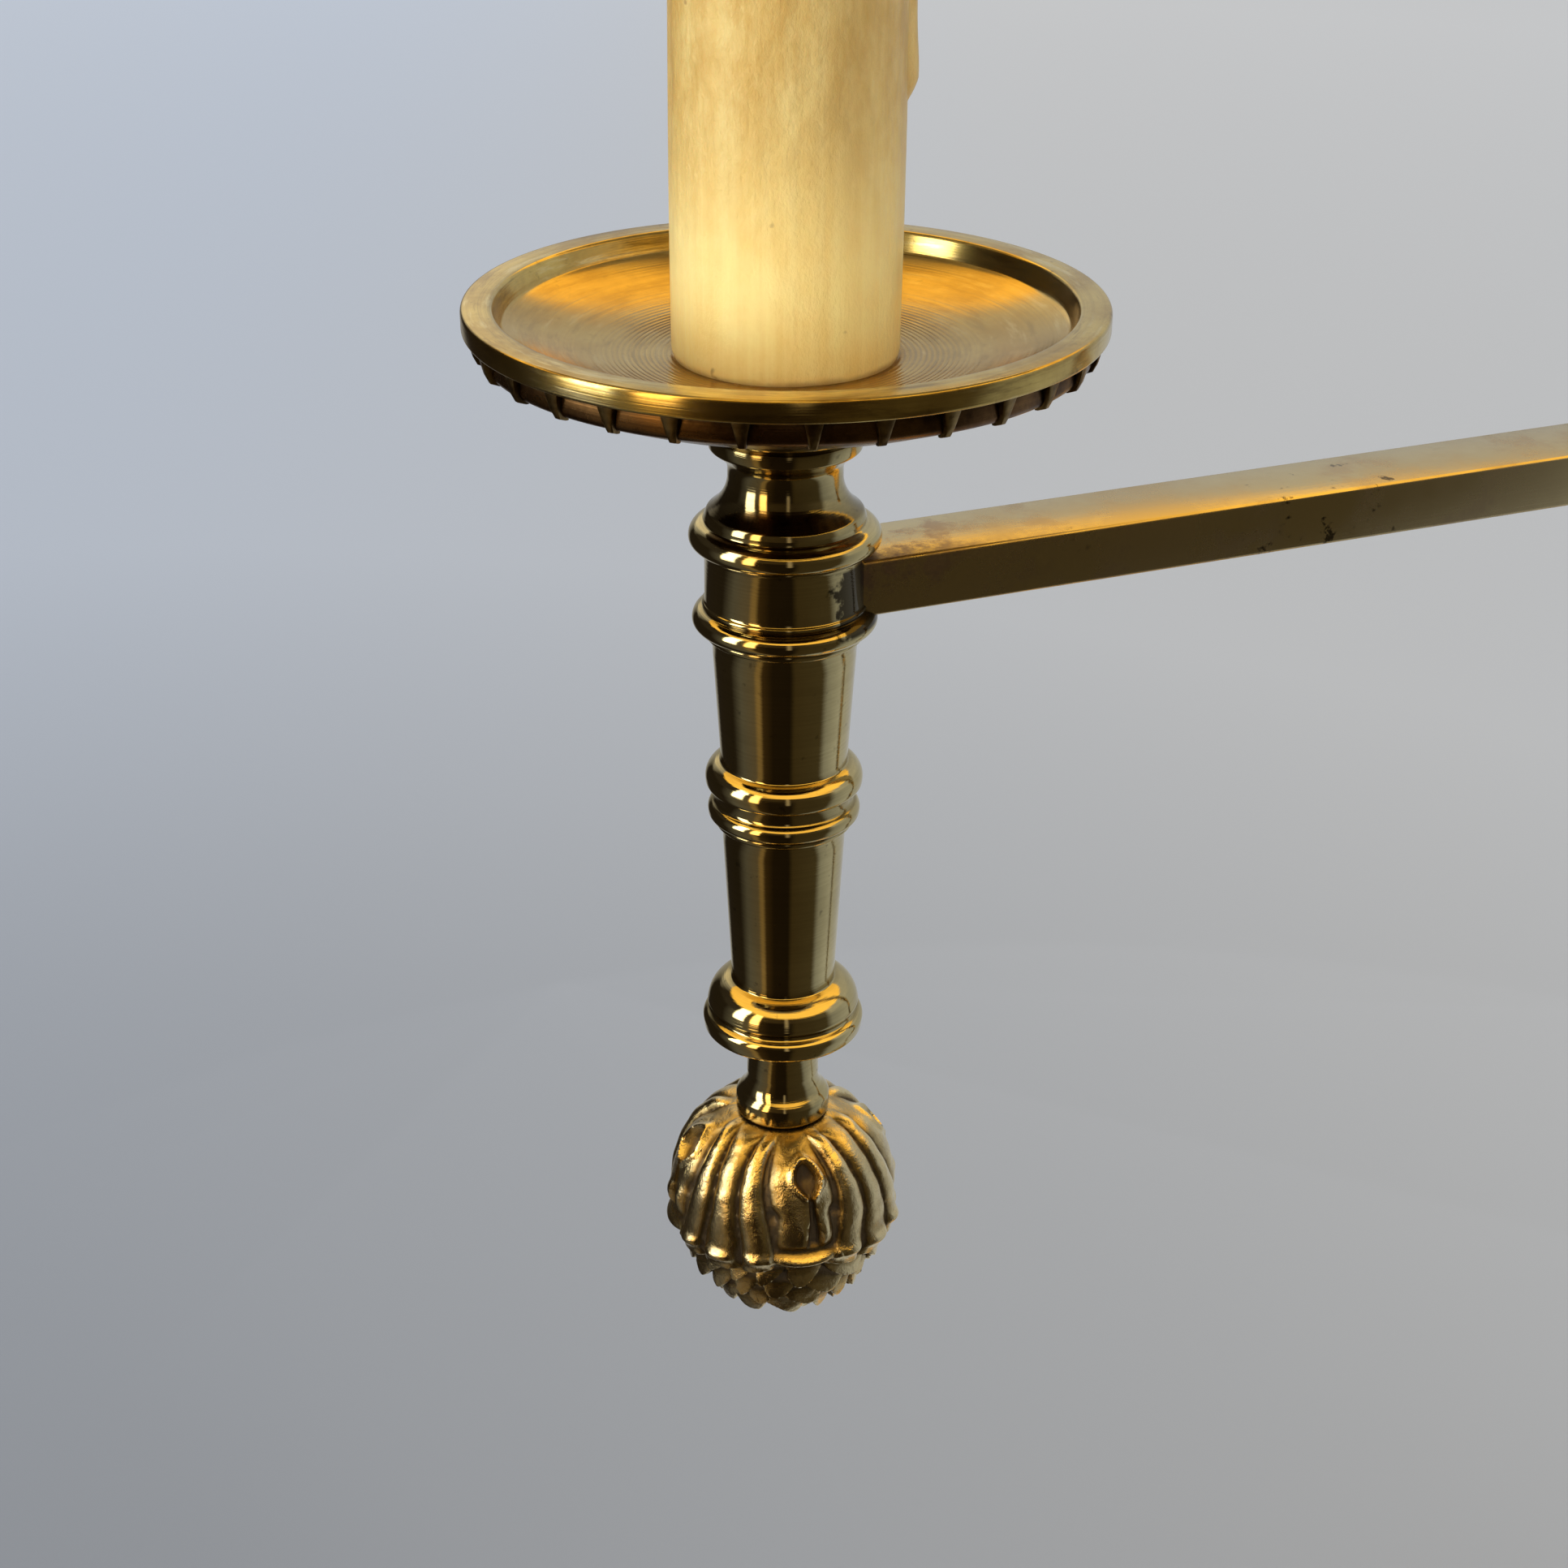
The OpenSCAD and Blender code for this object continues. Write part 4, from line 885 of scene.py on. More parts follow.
def splineThrough(points, count):
    spots = np.array([points[0], *points, points[-1]], float)
    fine = []
    for a, b, c, d in zip(spots, spots[1:], spots[2:], spots[3:]):
        for t in np.linspace(0, 1, 24, endpoint=False):
            fine.append(0.5 * (2 * b + (c - a) * t + (2 * a - 5 * b + 4 * c - d) * t ** 2
                               + (3 * b - a - 3 * c + d) * t ** 3))
    fine = np.array([*fine, points[-1]])
    run = np.concatenate([[0], np.cumsum(np.linalg.norm(np.diff(fine, axis=0), axis=1))])
    even = np.linspace(0, run[-1], count)
    return np.stack([np.interp(even, run, fine[:, 0]), np.interp(even, run, fine[:, 1])], 1), even


def glide(v, at, values):
    # a smooth line through a few values
    at, values = np.array(at, float), np.array(values, float)
    slope = np.gradient(values, at)
    k = np.clip(np.searchsorted(at, v) - 1, 0, len(at) - 2)
    span = at[k + 1] - at[k]
    s = np.clip((v - at[k]) / span, 0, 1)
    left = (2 * s ** 3 - 3 * s ** 2 + 1) * values[k] + (s ** 3 - 2 * s ** 2 + s) * span * slope[k]
    return left + (3 * s ** 2 - 2 * s ** 3) * values[k + 1] + (s ** 3 - s ** 2) * span * slope[k + 1]


def fold(spot, low, high):
    # a rounded fold between two grooves
    return np.clip(1 - np.abs((2 * spot - low - high) / (high - low)) ** 2.5, 0, 1) ** 0.66


def lip(aside, below, wide, tall):
    # a turned-out leaf end
    return np.clip(1 - (aside / wide) ** 2, 0, 1) ** 0.6 * hump(below, tall)


def leafRelief(off, v, cone):
    # off is degrees from the middle of the nearest leaf, v runs from its top 0 to its tip 1
    side = np.abs(off)
    pitch = 360 / cone["leaves"]
    petal, bowed, first = (glide(v, cone["grooveAt"], cone[key]) for key in ("petal", "bowed", "grooved"))
    begin = smooth(v, -0.04, 0.16)
    relief = 1.05 * fold(side, np.maximum(petal, bowed), first) * begin  # the fold beside the petal
    relief = np.maximum(relief, 0.95 * fold(side, first, pitch - first) * begin)  # the fold between leaves
    relief = np.maximum(relief, fold(side, -petal, petal) * smooth(v, 0.0, 0.3) * smooth(v, 0.9, 0.8))
    relief -= 0.5 * hump(side - 17, 3.5) * hump(v - 0.6, 0.045)  # notch in the petal's edge
    eyeSide = off - cone["eyeAside"]
    eyeDrop = v - cone["eyeAt"]
    wide = 8.4 * glide(eyeDrop, (-0.18, -0.08, 0.02, 0.14), (0.7, 0.95, 0.95, 0.4))
    hollow = np.sqrt((eyeSide / wide) ** 2 + (eyeDrop / cone["eyeTall"]) ** 2)
    relief += 0.35 * hump(hollow - 1.15, 0.25)  # brow round the eye
    relief -= cone["eye"] * np.clip(1 - hollow ** 2, 0, 1) ** 0.8
    slit = glide(v, (0.46, 0.56, 0.8), (1.8, 1.6, 3.4))
    relief -= 1.3 * smooth(np.abs(eyeSide) / slit, 1.5, 0.4) * smooth(v, 0.44, 0.52) * smooth(v, 0.88, 0.82)
    relief += 0.35 * hump(np.abs(eyeSide) - 6, 3.0) * hump(v - 0.73, 0.07)  # swelling beside the slit
    relief += cone["tip"] * lip(side, v - 0.96 + 0.025 * (side / 17) ** 2, 19, 0.05)
    relief += 0.75 * lip(side - 25, v - 0.93, 8, 0.045)
    relief += 0.85 * lip(side - pitch / 2, v - 0.95, 9.5, 0.045)
    return relief


def scaleRelief(turn, t, cone):
    # overlapping scales: the upper row lies over the lower one
    relief = np.zeros_like(t)
    bare = np.ones_like(t, bool)
    tall = 1 / cone["scaleRows"]
    for row in range(cone["scaleRows"] + 2):
        spot = turn / 360 * cone["scales"] + 0.5 * (row % 2)
        number = np.floor(spot)
        across = spot - number - 0.5
        chance = np.sin(number * 12.9 + row * 78.2) * 0.7  # each scale a little different
        edge = 1 - 1.7 * across ** 2 - 0.3 * np.abs(across) + 0.13 * chance
        b = (t - (row - 1.1) * tall) / (1.7 * tall) / edge
        here = bare & (b >= 0) & (b <= 1)
        bulge = (0.15 + 0.85 * np.clip(b, 0, 1) ** 1.3) * (1 - 0.75 * (2 * across + 0.3 * chance) ** 2)
        bulge += 0.16 * chance + 0.3 * chance * across - 0.35 * smooth(b, 0.88, 1.0)
        relief = np.where(here, bulge, relief)
        bare &= ~here
    return cone["scale"] * relief * smooth(t, 1.04, 0.72)


def recessOf(relief):
    # how far each spot lies below its neighbourhood: 0 on ridges, 1 in hollows
    near = relief.copy()
    rows = np.arange(len(relief))
    for step in (2, 4, 7):
        rolled = [np.roll(near, s, 1) for s in (-step, step)]
        lines = [near[np.clip(rows + s, 0, len(rows) - 1)] for s in (-step, step)]
        near = (near + sum(rolled) + sum(lines)) / 5
    return np.clip(0.47 + (near - relief) * 0.8, 0, 1)


def coneRelief(run, turn, top, tip, cone):
    # the relief over the whole cone: run goes down its outline, turn round it
    pitch = 360 / cone["leaves"]
    front = np.clip(np.cos(np.radians(turn - cone["firstLeaf"])), 0, 1) ** 2
    tips = (tip - cone["shortLeaf"] * front)[None, :]  # the first leaf is the shortest
    v = (run[:, None] - top) / (tips - top)
    t = (run[:, None] - tips) / (run[-1] - tips)
    off = (turn - cone["firstLeaf"] + pitch / 2) % pitch - pitch / 2
    off = np.repeat(off[None, :], len(run), 0) + 1.4 * np.sin(v * 5 + 1.1)
    turns = np.repeat(turn[None, :], len(run), 0)
    leaf = leafRelief(off, np.clip(v, 0, 1.08), cone)
    swirl = 9 * np.sin(t * 4) + 7 * np.sin(np.radians(turns * 3) + t * 6)
    scale = scaleRelief(turns + swirl, t, cone) - cone["scaleSink"]
    share = smooth(v + 0.02 * np.cos(np.radians(off * 4)), 1.04, 1.07)
    relief = leaf * (1 - share) + scale * share
    relief += 0.07 * np.sin(np.radians(turns * 7) + v * 9) * np.sin(np.radians(turns * 3) + v * 23)
    return relief * smooth(run, 0.3, top + 0.6)[:, None]


def coneMesh(name, cone):
    line, run = splineThrough(cone["outline"][::-1], cone["down"])
    edge = np.gradient(line, axis=0)
    outward = np.stack([-edge[:, 1], edge[:, 0]], 1)
    outward /= np.linalg.norm(outward, axis=1)[:, None]
    top, tip = (run[np.argmin(np.linalg.norm(line - cone[key], axis=1))] for key in ("leafTop", "leafTip"))
    around = cone["around"]
    turn = np.arange(around) * 360 / around
    relief = coneRelief(run, turn, top, tip, cone)
    recess = recessOf(relief)[:-1]
    relief -= 0.25 * smooth(run, top, top + 4)[:, None]
    radius, height = (line[:-1, k:k + 1] + outward[:-1, k:k + 1] * relief[:-1] for k in (0, 1))
    radius = np.maximum(radius, 0.05)
    angle = np.radians(turn)[None, :]
    rows = np.stack([radius * np.cos(angle), radius * np.sin(angle), height], -1).reshape(-1, 3) * mm
    verts = np.vstack([rows, [[0, 0, line[-1, 1] * mm], [0, 0, 0]]])
    depth = np.concatenate([recess.ravel(), [0.4, 0.5]])
    count = len(radius)
    last, first = len(verts) - 2, len(verts) - 1
    faces = []
    for k in range(around):
        n = (k + 1) % around
        faces += [(i * around + k, i * around + n, (i + 1) * around + n, (i + 1) * around + k)
                  for i in range(count - 1)]
        faces.append(((count - 1) * around + k, (count - 1) * around + n, last))
        faces.append((n, k, first))
    mesh = meshFrom(name, verts, faces)
    mesh.attributes.new("recess", "FLOAT", "POINT").data.foreach_set("value", depth.astype(np.float32))
    return mesh


hangingCone = coneMesh("hangingCone", pineCone)
standingCone = hangingCone.copy()
turnOver(standingCone, 180, "X")
moveTo(standingCone, poleAxis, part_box("pole_finial")[0].z)
moveTo(hangingCone, columnAxis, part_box("finial")[1].z)
addPiece("finialCone", hangingCone, "arm", "brass", [coneBrass], "finial")
addPiece("poleCone", standingCone, "riser", "brass", [coneBrass], "pole_finial")
print("pine cones done")


# Arm bar with eased edges

def easeEdges(shape, edges, ease, segments, clamp=False):
    bmesh.ops.bevel(shape, geom=edges, offset=ease * mm, segments=segments, affect="EDGES", profile=0.5,
                    clamp_overlap=clamp)


armBar = {"node": "arm_bar", "ease": 0.45, "segments": 3}


def easedBlock(name, part):
    low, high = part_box(part["node"])
    size, middle = high - low, (high + low) / 2
    shape = bmesh.new()
    bmesh.ops.create_cube(shape, size=1)
    for vert in shape.verts:
        vert.co = Vector(c * s for c, s in zip(vert.co, size)) + middle
    easeEdges(shape, shape.edges[:], part["ease"], part["segments"])
    return facedOut(meshOf(name, shape))


addPiece("armBar", easedBlock("armBar", armBar), "arm", "brass", [barBrass], "arm_bar")


# Candle sleeve with wax runs

candle = {
    "node": "candle_sleeve", "around": 180, "rows": 150, "wall": 0.9,
    "sink": 0.12, "runSink": 0.2,  # how far plain wax and runs start inside the sleeve's radius
    "waves": [(2, 0.11, 0.06), (5, -0.07, 0.05)],  # lobes round the sleeve, twist, depth
    "footIn": 0.28, "footTall": 0.5, "topIn": 0.35, "topTall": 0.6,  # rounding of both ends
    "runs": [  # degrees from the arm, length from the top, width, thickness
        (-19, 56.5, 4.6, 1.35), (-34, 41, 2.4, 0.55), (52, 30, 4.2, 1.3), (98, 49, 5.0, 1.5),
        (141, 22, 3.6, 1.1), (205, 38, 4.4, 1.3),
    ],
    "drop": 3,  # middle of a run's swollen end, above its tip
}


def candleMesh(name, part):
    outer, tall = (candleHigh.x - candleLow.x) / 2 / mm, (candleHigh.z - candleLow.z) / mm
    around = part["around"]
    turn = np.arange(around) * 360 / around
    z, angle = np.meshgrid(np.linspace(0, tall, part["rows"]), turn, indexing="ij")
    radius = np.full_like(z, outer - part["sink"])
    for lobes, twist, depth in part["waves"]:
        radius += depth * np.sin(np.radians(angle * lobes) + z * twist)
    for at, length, width, thick in part["runs"]:
        off = np.radians((angle - at + 180) % 360 - 180) * outer
        wander = off - 0.5 * np.sin(z * 0.13 + at)
        tip = tall - length
        swollen = z - tip - part["drop"]
        fat = width * (0.72 + 0.28 * hump(swollen, 3.2))
        body = np.sqrt(np.clip(1 - (wander / (fat / 2)) ** 2, 0, 1))
        end = np.sqrt(np.clip((z - tip) / 2.2, 0, 1))
        wax = thick * body * end * (0.75 + 0.25 * hump(swollen, 4))
        radius = np.maximum(radius, outer - part["runSink"] + wax)
    radius -= part["footIn"] * hump(z, part["footTall"]) + part["topIn"] * hump(tall - z, part["topTall"])
    radius = np.vstack([radius, np.full((2, around), outer - part["wall"])])  # the bore, from the top down
    height = np.vstack([z, np.full((1, around), tall), np.zeros((1, around))])
    angle = np.radians(np.vstack([angle, angle[:2]]))
    verts = np.stack([radius * np.cos(angle), radius * np.sin(angle), height], -1).reshape(-1, 3) * mm
    count = len(radius)
    faces = []
    for i in range(count):
        for k in range(around):
            n, j = (k + 1) % around, (i + 1) % count
            faces.append((i * around + k, i * around + n, j * around + n, j * around + k))
    mesh = meshFrom(name, verts, faces)
    moveTo(mesh, columnAxis, candleLow.z)
    return mesh


addPiece("candleSleeve", candleMesh("candleSleeve", candle), "arm", "candle", [creamPaint], candle["node"])
print("arm bar and candle done")


# Hub and pole pieces

armHub = {
    "node": "arm_hub", "body": "arm",
    "cuts": [(7.1, 0), (11.4, 0), (11.7, 0.3), (11.7, 0.9), (12.0, 1.1), (12.1, 6.1, 1.5), (12.4, 6.3),
             (12.4, 6.8), (12.0, 7.0), (12.0, 11.0), (12.45, 11.2), (12.45, 11.8), (12.8, 15.2, 1.15),
             (12.6, 15.4), (12.4, 17.0, 0.5), (12.2, 17.3), (7.1, 17.3)],
}
hubSeat = {
    "node": "hub_seat", "body": "riser",
    "cuts": [(7.1, 0), (8.9, 0), (9.1, 0.3), (9.1, 5.3, 2.6), (8.9, 5.6), (8.7, 6.2), (8.7, 9.6),
             (11.2, 13.0, -0.7), (11.9, 13.3), (12.0, 13.8), (12.0, 17.7), (11.8, 18.0), (5.1, 18.0)],
}
hubCap = {
    "node": "hub_cap", "body": "riser",
    "cuts": [(5.1, 0), (9.0, 0), (9.0, 4.6, 0.95), (8.2, 5.0), (6.6, 5.6, 0.15), (6.4, 6.0), (5.1, 6.0)],
}
poleSpool = {
    "node": "pole_spool", "body": "riser",
    "cuts": [(3.1, 0), (4.6, 0), (5.75, 4.1, -0.4), (5.8, 4.4), (6.0, 4.6), (6.0, 5.45), (5.85, 5.7),
             (3.1, 5.7)],
}
riserTube = {
    "node": "riser_tube", "body": "riser",
    "cuts": [(5.1, 0), (6.8, 0), (7.0, 0.3), (7.0, 213.25), (5.1, 213.25)],
}
clampCollar = {
    "node": "clamp_collar", "body": "stand",
    "cuts": [(9.1, 0), (12.6, 0), (13.0, 0.4), (13.0, 5.6, 1.35), (13.2, 5.9), (13.2, 6.5), (12.9, 6.8),
             (12.9, 23.4), (13.3, 23.8), (14.2, 24.4, 0.25), (14.2, 25.5, 0.25), (13.4, 26.0), (7.1, 26.0),
             (7.1, 13.2), (9.1, 13.0)],
}
poleTube = {
    "node": "pole_tube", "body": "stand",
    "cuts": [(7.7, 0), (9.0, 0), (9.0, 161.7), (8.8, 162.0), (7.7, 162.0)],
}
poleFoot = {
    "node": "pole_foot", "body": "stand",
    "cuts": [(5.1, 0), (14.6, 0), (16.2, 0.6), (16.4, 5.9, 1.55), (14.6, 6.6), (13.2, 7.2),
             (12.0, 9.0, -0.25), (11.6, 12.0), (11.6, 18.6), (11.9, 19.6), (12.3, 20.0), (12.3, 25.4, 1.1),
             (11.6, 26.0), (9.1, 26.0), (9.1, 8.0), (5.1, 8.0)],
}
baseShell = {
    "node": "base_shell", "body": "stand", "steps": 256,
    "cuts": [(78.4, 0), (79.6, 0), (80.0, 0.4), (80.0, 2.6), (79.5, 3.0), (79.5, 9.6), (80.0, 10.0),
             (80.0, 11.5), (74.0, 17.5, 1.757), (71.2, 17.5), (70.9, 17.1), (69.4, 17.1), (69.1, 17.5),
             (34.0, 17.5), (33.6, 17.1), (32.4, 17.1), (32.0, 17.5), (30.0, 17.5), (18.4, 28.6, -3.3),
             (18.2, 29.2), (17.8, 29.5), (5.1, 29.5), (5.1, 15.9), (74.0, 15.9), (78.4, 11.5, -1.3)],
}
for name, part in (("armHub", armHub), ("hubSeat", hubSeat), ("hubCap", hubCap), ("poleSpool", poleSpool),
                   ("riserTube", riserTube), ("clampCollar", clampCollar), ("poleTube", poleTube),
                   ("poleFoot", poleFoot), ("baseShell", baseShell)):
    turnPiece(name, part, poleAxis, poleBrass)

baseFelt = {
    "node": "base_felt", "body": "stand", "steps": 200,
    "cuts": [(0, 0), (77.9, 0), (78.3, 0.3), (78.3, 1.8), (78.0, 2.0), (0, 2.0)],
}
turnPiece("baseFelt", baseFelt, poleAxis, plain["greenFelt"], "felt")
print("pole and base done")


# Switch, with a milled bezel

switchLow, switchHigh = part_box("switch_bezel")
switchAxis = Vector(((switchLow.x + switchHigh.x) / 2, (switchLow.y + switchHigh.y) / 2, 0))
switchBrass = turnedBrass("switchBrass", switchAxis, brassLook)
switchBezel = {
    "node": "switch_bezel", "body": "stand", "teeth": 40,
    "cuts": [(7.1, 0), (9.6, 0), (9.6, 1.3), (9.2, 1.7), (8.2, 2.9, 0.25), (7.9, 3.0), (7.1, 3.0)],
    "tooth": {"root": (9.3, 9.3, 0.28, 0.1, 1.3), "crest": (9.95, 9.9, 0.12, 0.2, 1.1)},
}
milledPiece("switchBezel", switchBezel, switchAxis, switchBrass)

switchButton = {
    "node": "switch_button", "body": "button",
    "cuts": [(0, 0), (4.8, 0), (5.0, 0.2), (5.0, 9.6), (4.4, 10.6, 0.18), (3.2, 10.9), (2.6, 10.75),
             (0, 10.4, -0.15)],
}
turnPiece("switchButton", switchButton, switchAxis, plain["bakelite"], "black_plastic")


# Thumbscrew: a dished key on a turned neck

screwLow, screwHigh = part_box("thumbscrew")
screwSpot = Vector((0, 0, (screwLow.z + screwHigh.z) / 2))
screwLook = {**brassLook, "ringTone": 0.05, "ringDepth": 0.008}
screwBrass = turnedBrass("screwBrass", screwSpot, screwLook)
thumbscrew = {
    "neckSteps": 96, "keySteps": 128, "keyRadius": 8.0,
    "neck": [(0, 7.1), (2.3, 7.1), (2.5, 7.4), (2.5, 13.2), (3.6, 13.3), (4.0, 13.6), (4.0, 15.2),
             (3.2, 15.6), (3.2, 16.4), (3.9, 16.8), (3.9, 18.0), (2.6, 18.4), (0, 18.6)],
    "key": [(0, -0.95), (3.6, -0.95, -0.2), (5.6, -1.4), (6.6, -1.6), (7.4, -1.5), (7.4, 1.5, 0.6),
            (6.6, 1.6), (5.6, 1.4), (3.6, 0.95), (0, 0.95, -0.2)],
}
screwNeck = turnedMesh("screwNeck", thumbscrew["neck"], thumbscrew["neckSteps"])
turnOver(screwNeck, 90, "Y")
screwKey = turnedMesh("screwKey", thumbscrew["key"], thumbscrew["keySteps"])
turnOver(screwKey, 90, "X")
moveTo(screwKey, Vector((screwHigh.x - thumbscrew["keyRadius"] * mm, 0, 0)))
screwMesh = joined("thumbscrew", [screwNeck, screwKey])
moveTo(screwMesh, screwSpot)
addPiece("thumbScrew", screwMesh, "clamp_screw", "brass", [screwBrass], "thumbscrew")


# Cord inlet bush

bushLow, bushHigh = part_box("cord_bush")
cordBush = {
    "steps": 96,
    "cuts": [(2.6, 0), (3.8, 0), (3.8, 5.6), (4.5, 5.6), (4.6, 5.8), (4.6, 6.9), (3.9, 7.6, 0.2), (3.1, 7.6),
             (2.6, 7.2, 0.15)],
}
bushMesh = turnedMesh("cordBush", cordBush["cuts"], cordBush["steps"])
turnOver(bushMesh, -90, "X")
moveTo(bushMesh, Vector((0, bushLow.y, (bushLow.z + bushHigh.z) / 2)))
addPiece("cordBush", bushMesh, "stand", "black_plastic", [plain["bakelite"]], "cord_bush")
print("switch, screw and inlet done")


# Bulb, with four filament rods

bulbGlass = {
    "node": "bulb_glass", "body": "arm", "steps": 96,
    "cuts": [(6.2, 0), (6.2, 5.4), (17.4, 33.0, 3.4), (3.4, 71.6, 6.3), (0, 72.0, 0.3), (0, 71.2),
             (3.0, 70.8, -0.3), (16.6, 33.0, -6.2), (5.4, 5.4, -3.3), (5.4, 0)],
}
turnPiece("bulbGlass", bulbGlass, columnAxis, plain["bulbGlass"], "glass")

filament = {
    "node": "filament", "rods": 4, "rodsAt": 5.0, "rodsFrom": 41, "rodSteps": 20, "stemSteps": 48,
    "rod": [(0, 0), (0.45, 0), (0.8, 0.5), (0.8, 27.5), (0.45, 28.2), (0.2, 30), (0, 30)],
    "stem": [(0, 0), (2.2, 0), (2.2, 36), (1.8, 38), (1.4, 40.2), (6.2, 40.4), (6.3, 41.2), (0.5, 41.4),
             (0.4, 68), (0, 68.2)],
}
rodShape = turnedMesh("filamentRod", filament["rod"], filament["rodSteps"])
rods = ringMesh("filamentRods", rodShape, filament["rods"], plain["phosphor"], filament["rodsAt"],
                filament["rodsFrom"])
stem = turnedMesh("filamentStem", filament["stem"], filament["stemSteps"])
for mesh, name, finish in ((rods, "filamentRods", "phosphor"), (stem, "filamentStem", "zincSteel")):
    moveTo(mesh, columnAxis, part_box(filament["node"])[0].z)
    addPiece(name, mesh, "arm", "filament", [plain[finish]])
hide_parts("filament")


# Bracket nut and pivot screws with milled edges

bracketNut = {
    "node": "bracket_nut", "body": "arm", "teeth": 44,
    "cuts": [(9.55, 0), (11.6, 0), (12.0, 0.4), (12.0, 3.2), (11.6, 3.6), (10.2, 3.6), (9.9, 3.3),
             (9.55, 3.3)],
    "tooth": {"root": (11.6, 11.6, 0.42, 0.4, 3.2), "crest": (12.6, 12.6, 0.18, 0.7, 2.9)},
}
milledPiece("bracketNut", bracketNut, columnAxis, columnBrass)

pivotSpot = columnAxis + Vector((0, 0, sum(corner.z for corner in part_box("pivot_screws")) / 2))
pivotBrass = turnedBrass("pivotBrass", pivotSpot, {**screwLook, "ringDepth": 0.006})
pivotScrew = {
    "teeth": 28, "steps": 72,
    "cuts": [(0, 54.9), (1.8, 54.9), (2.0, 55.2), (2.0, 63.5), (3.9, 63.5), (4.1, 63.7), (4.1, 65.4),
             (3.5, 66.0), (0, 66.5, 0.15)],
    "tooth": {"root": (3.9, 3.9, 0.2, 63.7, 65.4), "crest": (4.4, 4.4, 0.08, 63.9, 65.2)},
}
pivotMesh = bothSides("pivotScrews", milledMesh("oneScrew", pivotScrew, pivotBrass))
moveTo(pivotMesh, pivotSpot)
addPiece("pivotScrews", pivotMesh, "arm", "brass", [pivotBrass], "pivot_screws")


# Shade: green outside, ivory inside, brass wire rims and pivot bushes

shadeSize = {"low": 75.0, "high": 45.0, "tall": 100.0, "wall": 0.8, "steps": 224}


def shadeMesh(name, size):
    # the cone, and for each of its faces 1 where it looks inwards
    low, high, tall, wall = (size[key] for key in ("low", "high", "tall", "wall"))
    mesh = turnedMesh(name, [(low - wall, 0), (low, 0), (high, tall), (high - wall, tall)], size["steps"])
    inside = [face.normal.dot(face.center * Vector((1, 1, 0))) < 0 for face in mesh.polygons]
    moveTo(mesh, columnAxis, shadeLow.z)
    return mesh, np.array(inside, np.int32)


shadeWhole, insideFaces = shadeMesh("shadeCone", shadeSize)
addPiece("shadeCone", shadeWhole, "shade", "lacquer", [shadeGreen, plain["ivoryPaint"]], "shade_cone")
shadeWhole.polygons.foreach_set("material_index", insideFaces)

rimWire = {"thick": 1.7, "steps": 224}


def addRim(name, wire, radius, height, node):
    middle, thick = radius - shadeSize["wall"] / 2, wire["thick"]
    cuts = [(middle, -thick), (middle, thick, thick), (middle, -thick, thick)]
    mesh = turnedMesh(name, cuts, wire["steps"])
    moveTo(mesh, columnAxis, shadeLow.z + height * mm)
    addPiece(name, mesh, "shade", "brass", [columnBrass], node)


addRim("shadeRimLower", rimWire, shadeSize["low"], 0, "shade_rim_lower")
addRim("shadeRimUpper", rimWire, shadeSize["high"], shadeSize["tall"], "shade_rim_upper")

shadeBush = {
    "steps": 72,
    "cuts": [(2.1, 57.8), (4.2, 57.8), (4.6, 58.2), (4.6, 62.6), (3.9, 63.2, 0.15), (2.1, 63.2)],
}
bushesMesh = bothSides("shadeBushes", turnedMesh("oneBush", shadeBush["cuts"], shadeBush["steps"]))
moveTo(bushesMesh, pivotSpot)
addPiece("shadeBushes", bushesMesh, "shade", "brass", [pivotBrass], "shade_bushes")


# Bracket strap with eased edges, made from a copy of its solid

shadeBracket = {"node": "shade_bracket", "ease": 0.3, "segments": 2, "hardFrom": 40}  # degrees of a hard edge


def easedCopy(name, part):
    shape = bmesh.new()
    shape.from_mesh(nodes[part["node"]].data)
    bmesh.ops.remove_doubles(shape, verts=shape.verts, dist=1e-6)
    bmesh.ops.dissolve_limit(shape, angle_limit=math.radians(1), verts=shape.verts, edges=shape.edges)
    hardFrom = math.radians(part["hardFrom"])
    hard = [edge for edge in shape.edges if edge.is_manifold and edge.calc_face_angle() > hardFrom]
    easeEdges(shape, hard, part["ease"], part["segments"], clamp=True)
    return smoothed(meshOf(name, shape))


bracketMesh = easedCopy("shadeBracket", shadeBracket)
addPiece("shadeBracket", bracketMesh, "arm", "brass", [columnBrass], "shade_bracket")
print("bulb, bracket and shade done")


# Pieces that keep their solid shape

keptFinishes = {
    "zincSteel": ["foot_washer", "foot_nut", "foot_rod", "swing_stop_pin", "hub_spigot", "finial_stud",
                  "wire_nipple", "tie_rod", "bulb_cap"],
    "blackIron": ["base_weight"],
    "bakelite": ["switch_body", "lampholder"],
    "bushBronze": ["hub_bushes", "socket_shell", "centre_contact"],
    "whiteNylon": ["riser_slider"],
}
for name, kept in keptFinishes.items():
    for node in kept:
        nodes[node].data.materials.clear()
        nodes[node].data.materials.append(plain[name])


# Floor: paper with painted shade, darkest to the left of the lens and paler further off, and painted light
# cooler to the left and warmer to the right. The stage's sizes are in metres

level, _, side, _ = viewAxes(photoView)
floorLook = {
    "radius": 9, "segments": 96, "grain": 900.0, "grainDepth": 0.01,
    "corner": (-0.25, 0.30),  # centre of the painted shade, to the side of the lens and ahead of it
    "shadeTones": [  # distance from that spot, grey of the painted shade
        (0.20, 0.40), (0.32, 0.45), (0.46, 0.51), (0.62, 0.60), (0.85, 0.71), (2.30, 0.84),
    ],
    "coolLight": (0.93, 0.99, 1.08), "warmLight": (1.02, 1.0, 0.96), "tintFrom": -0.45, "tintTo": 0.25,
}


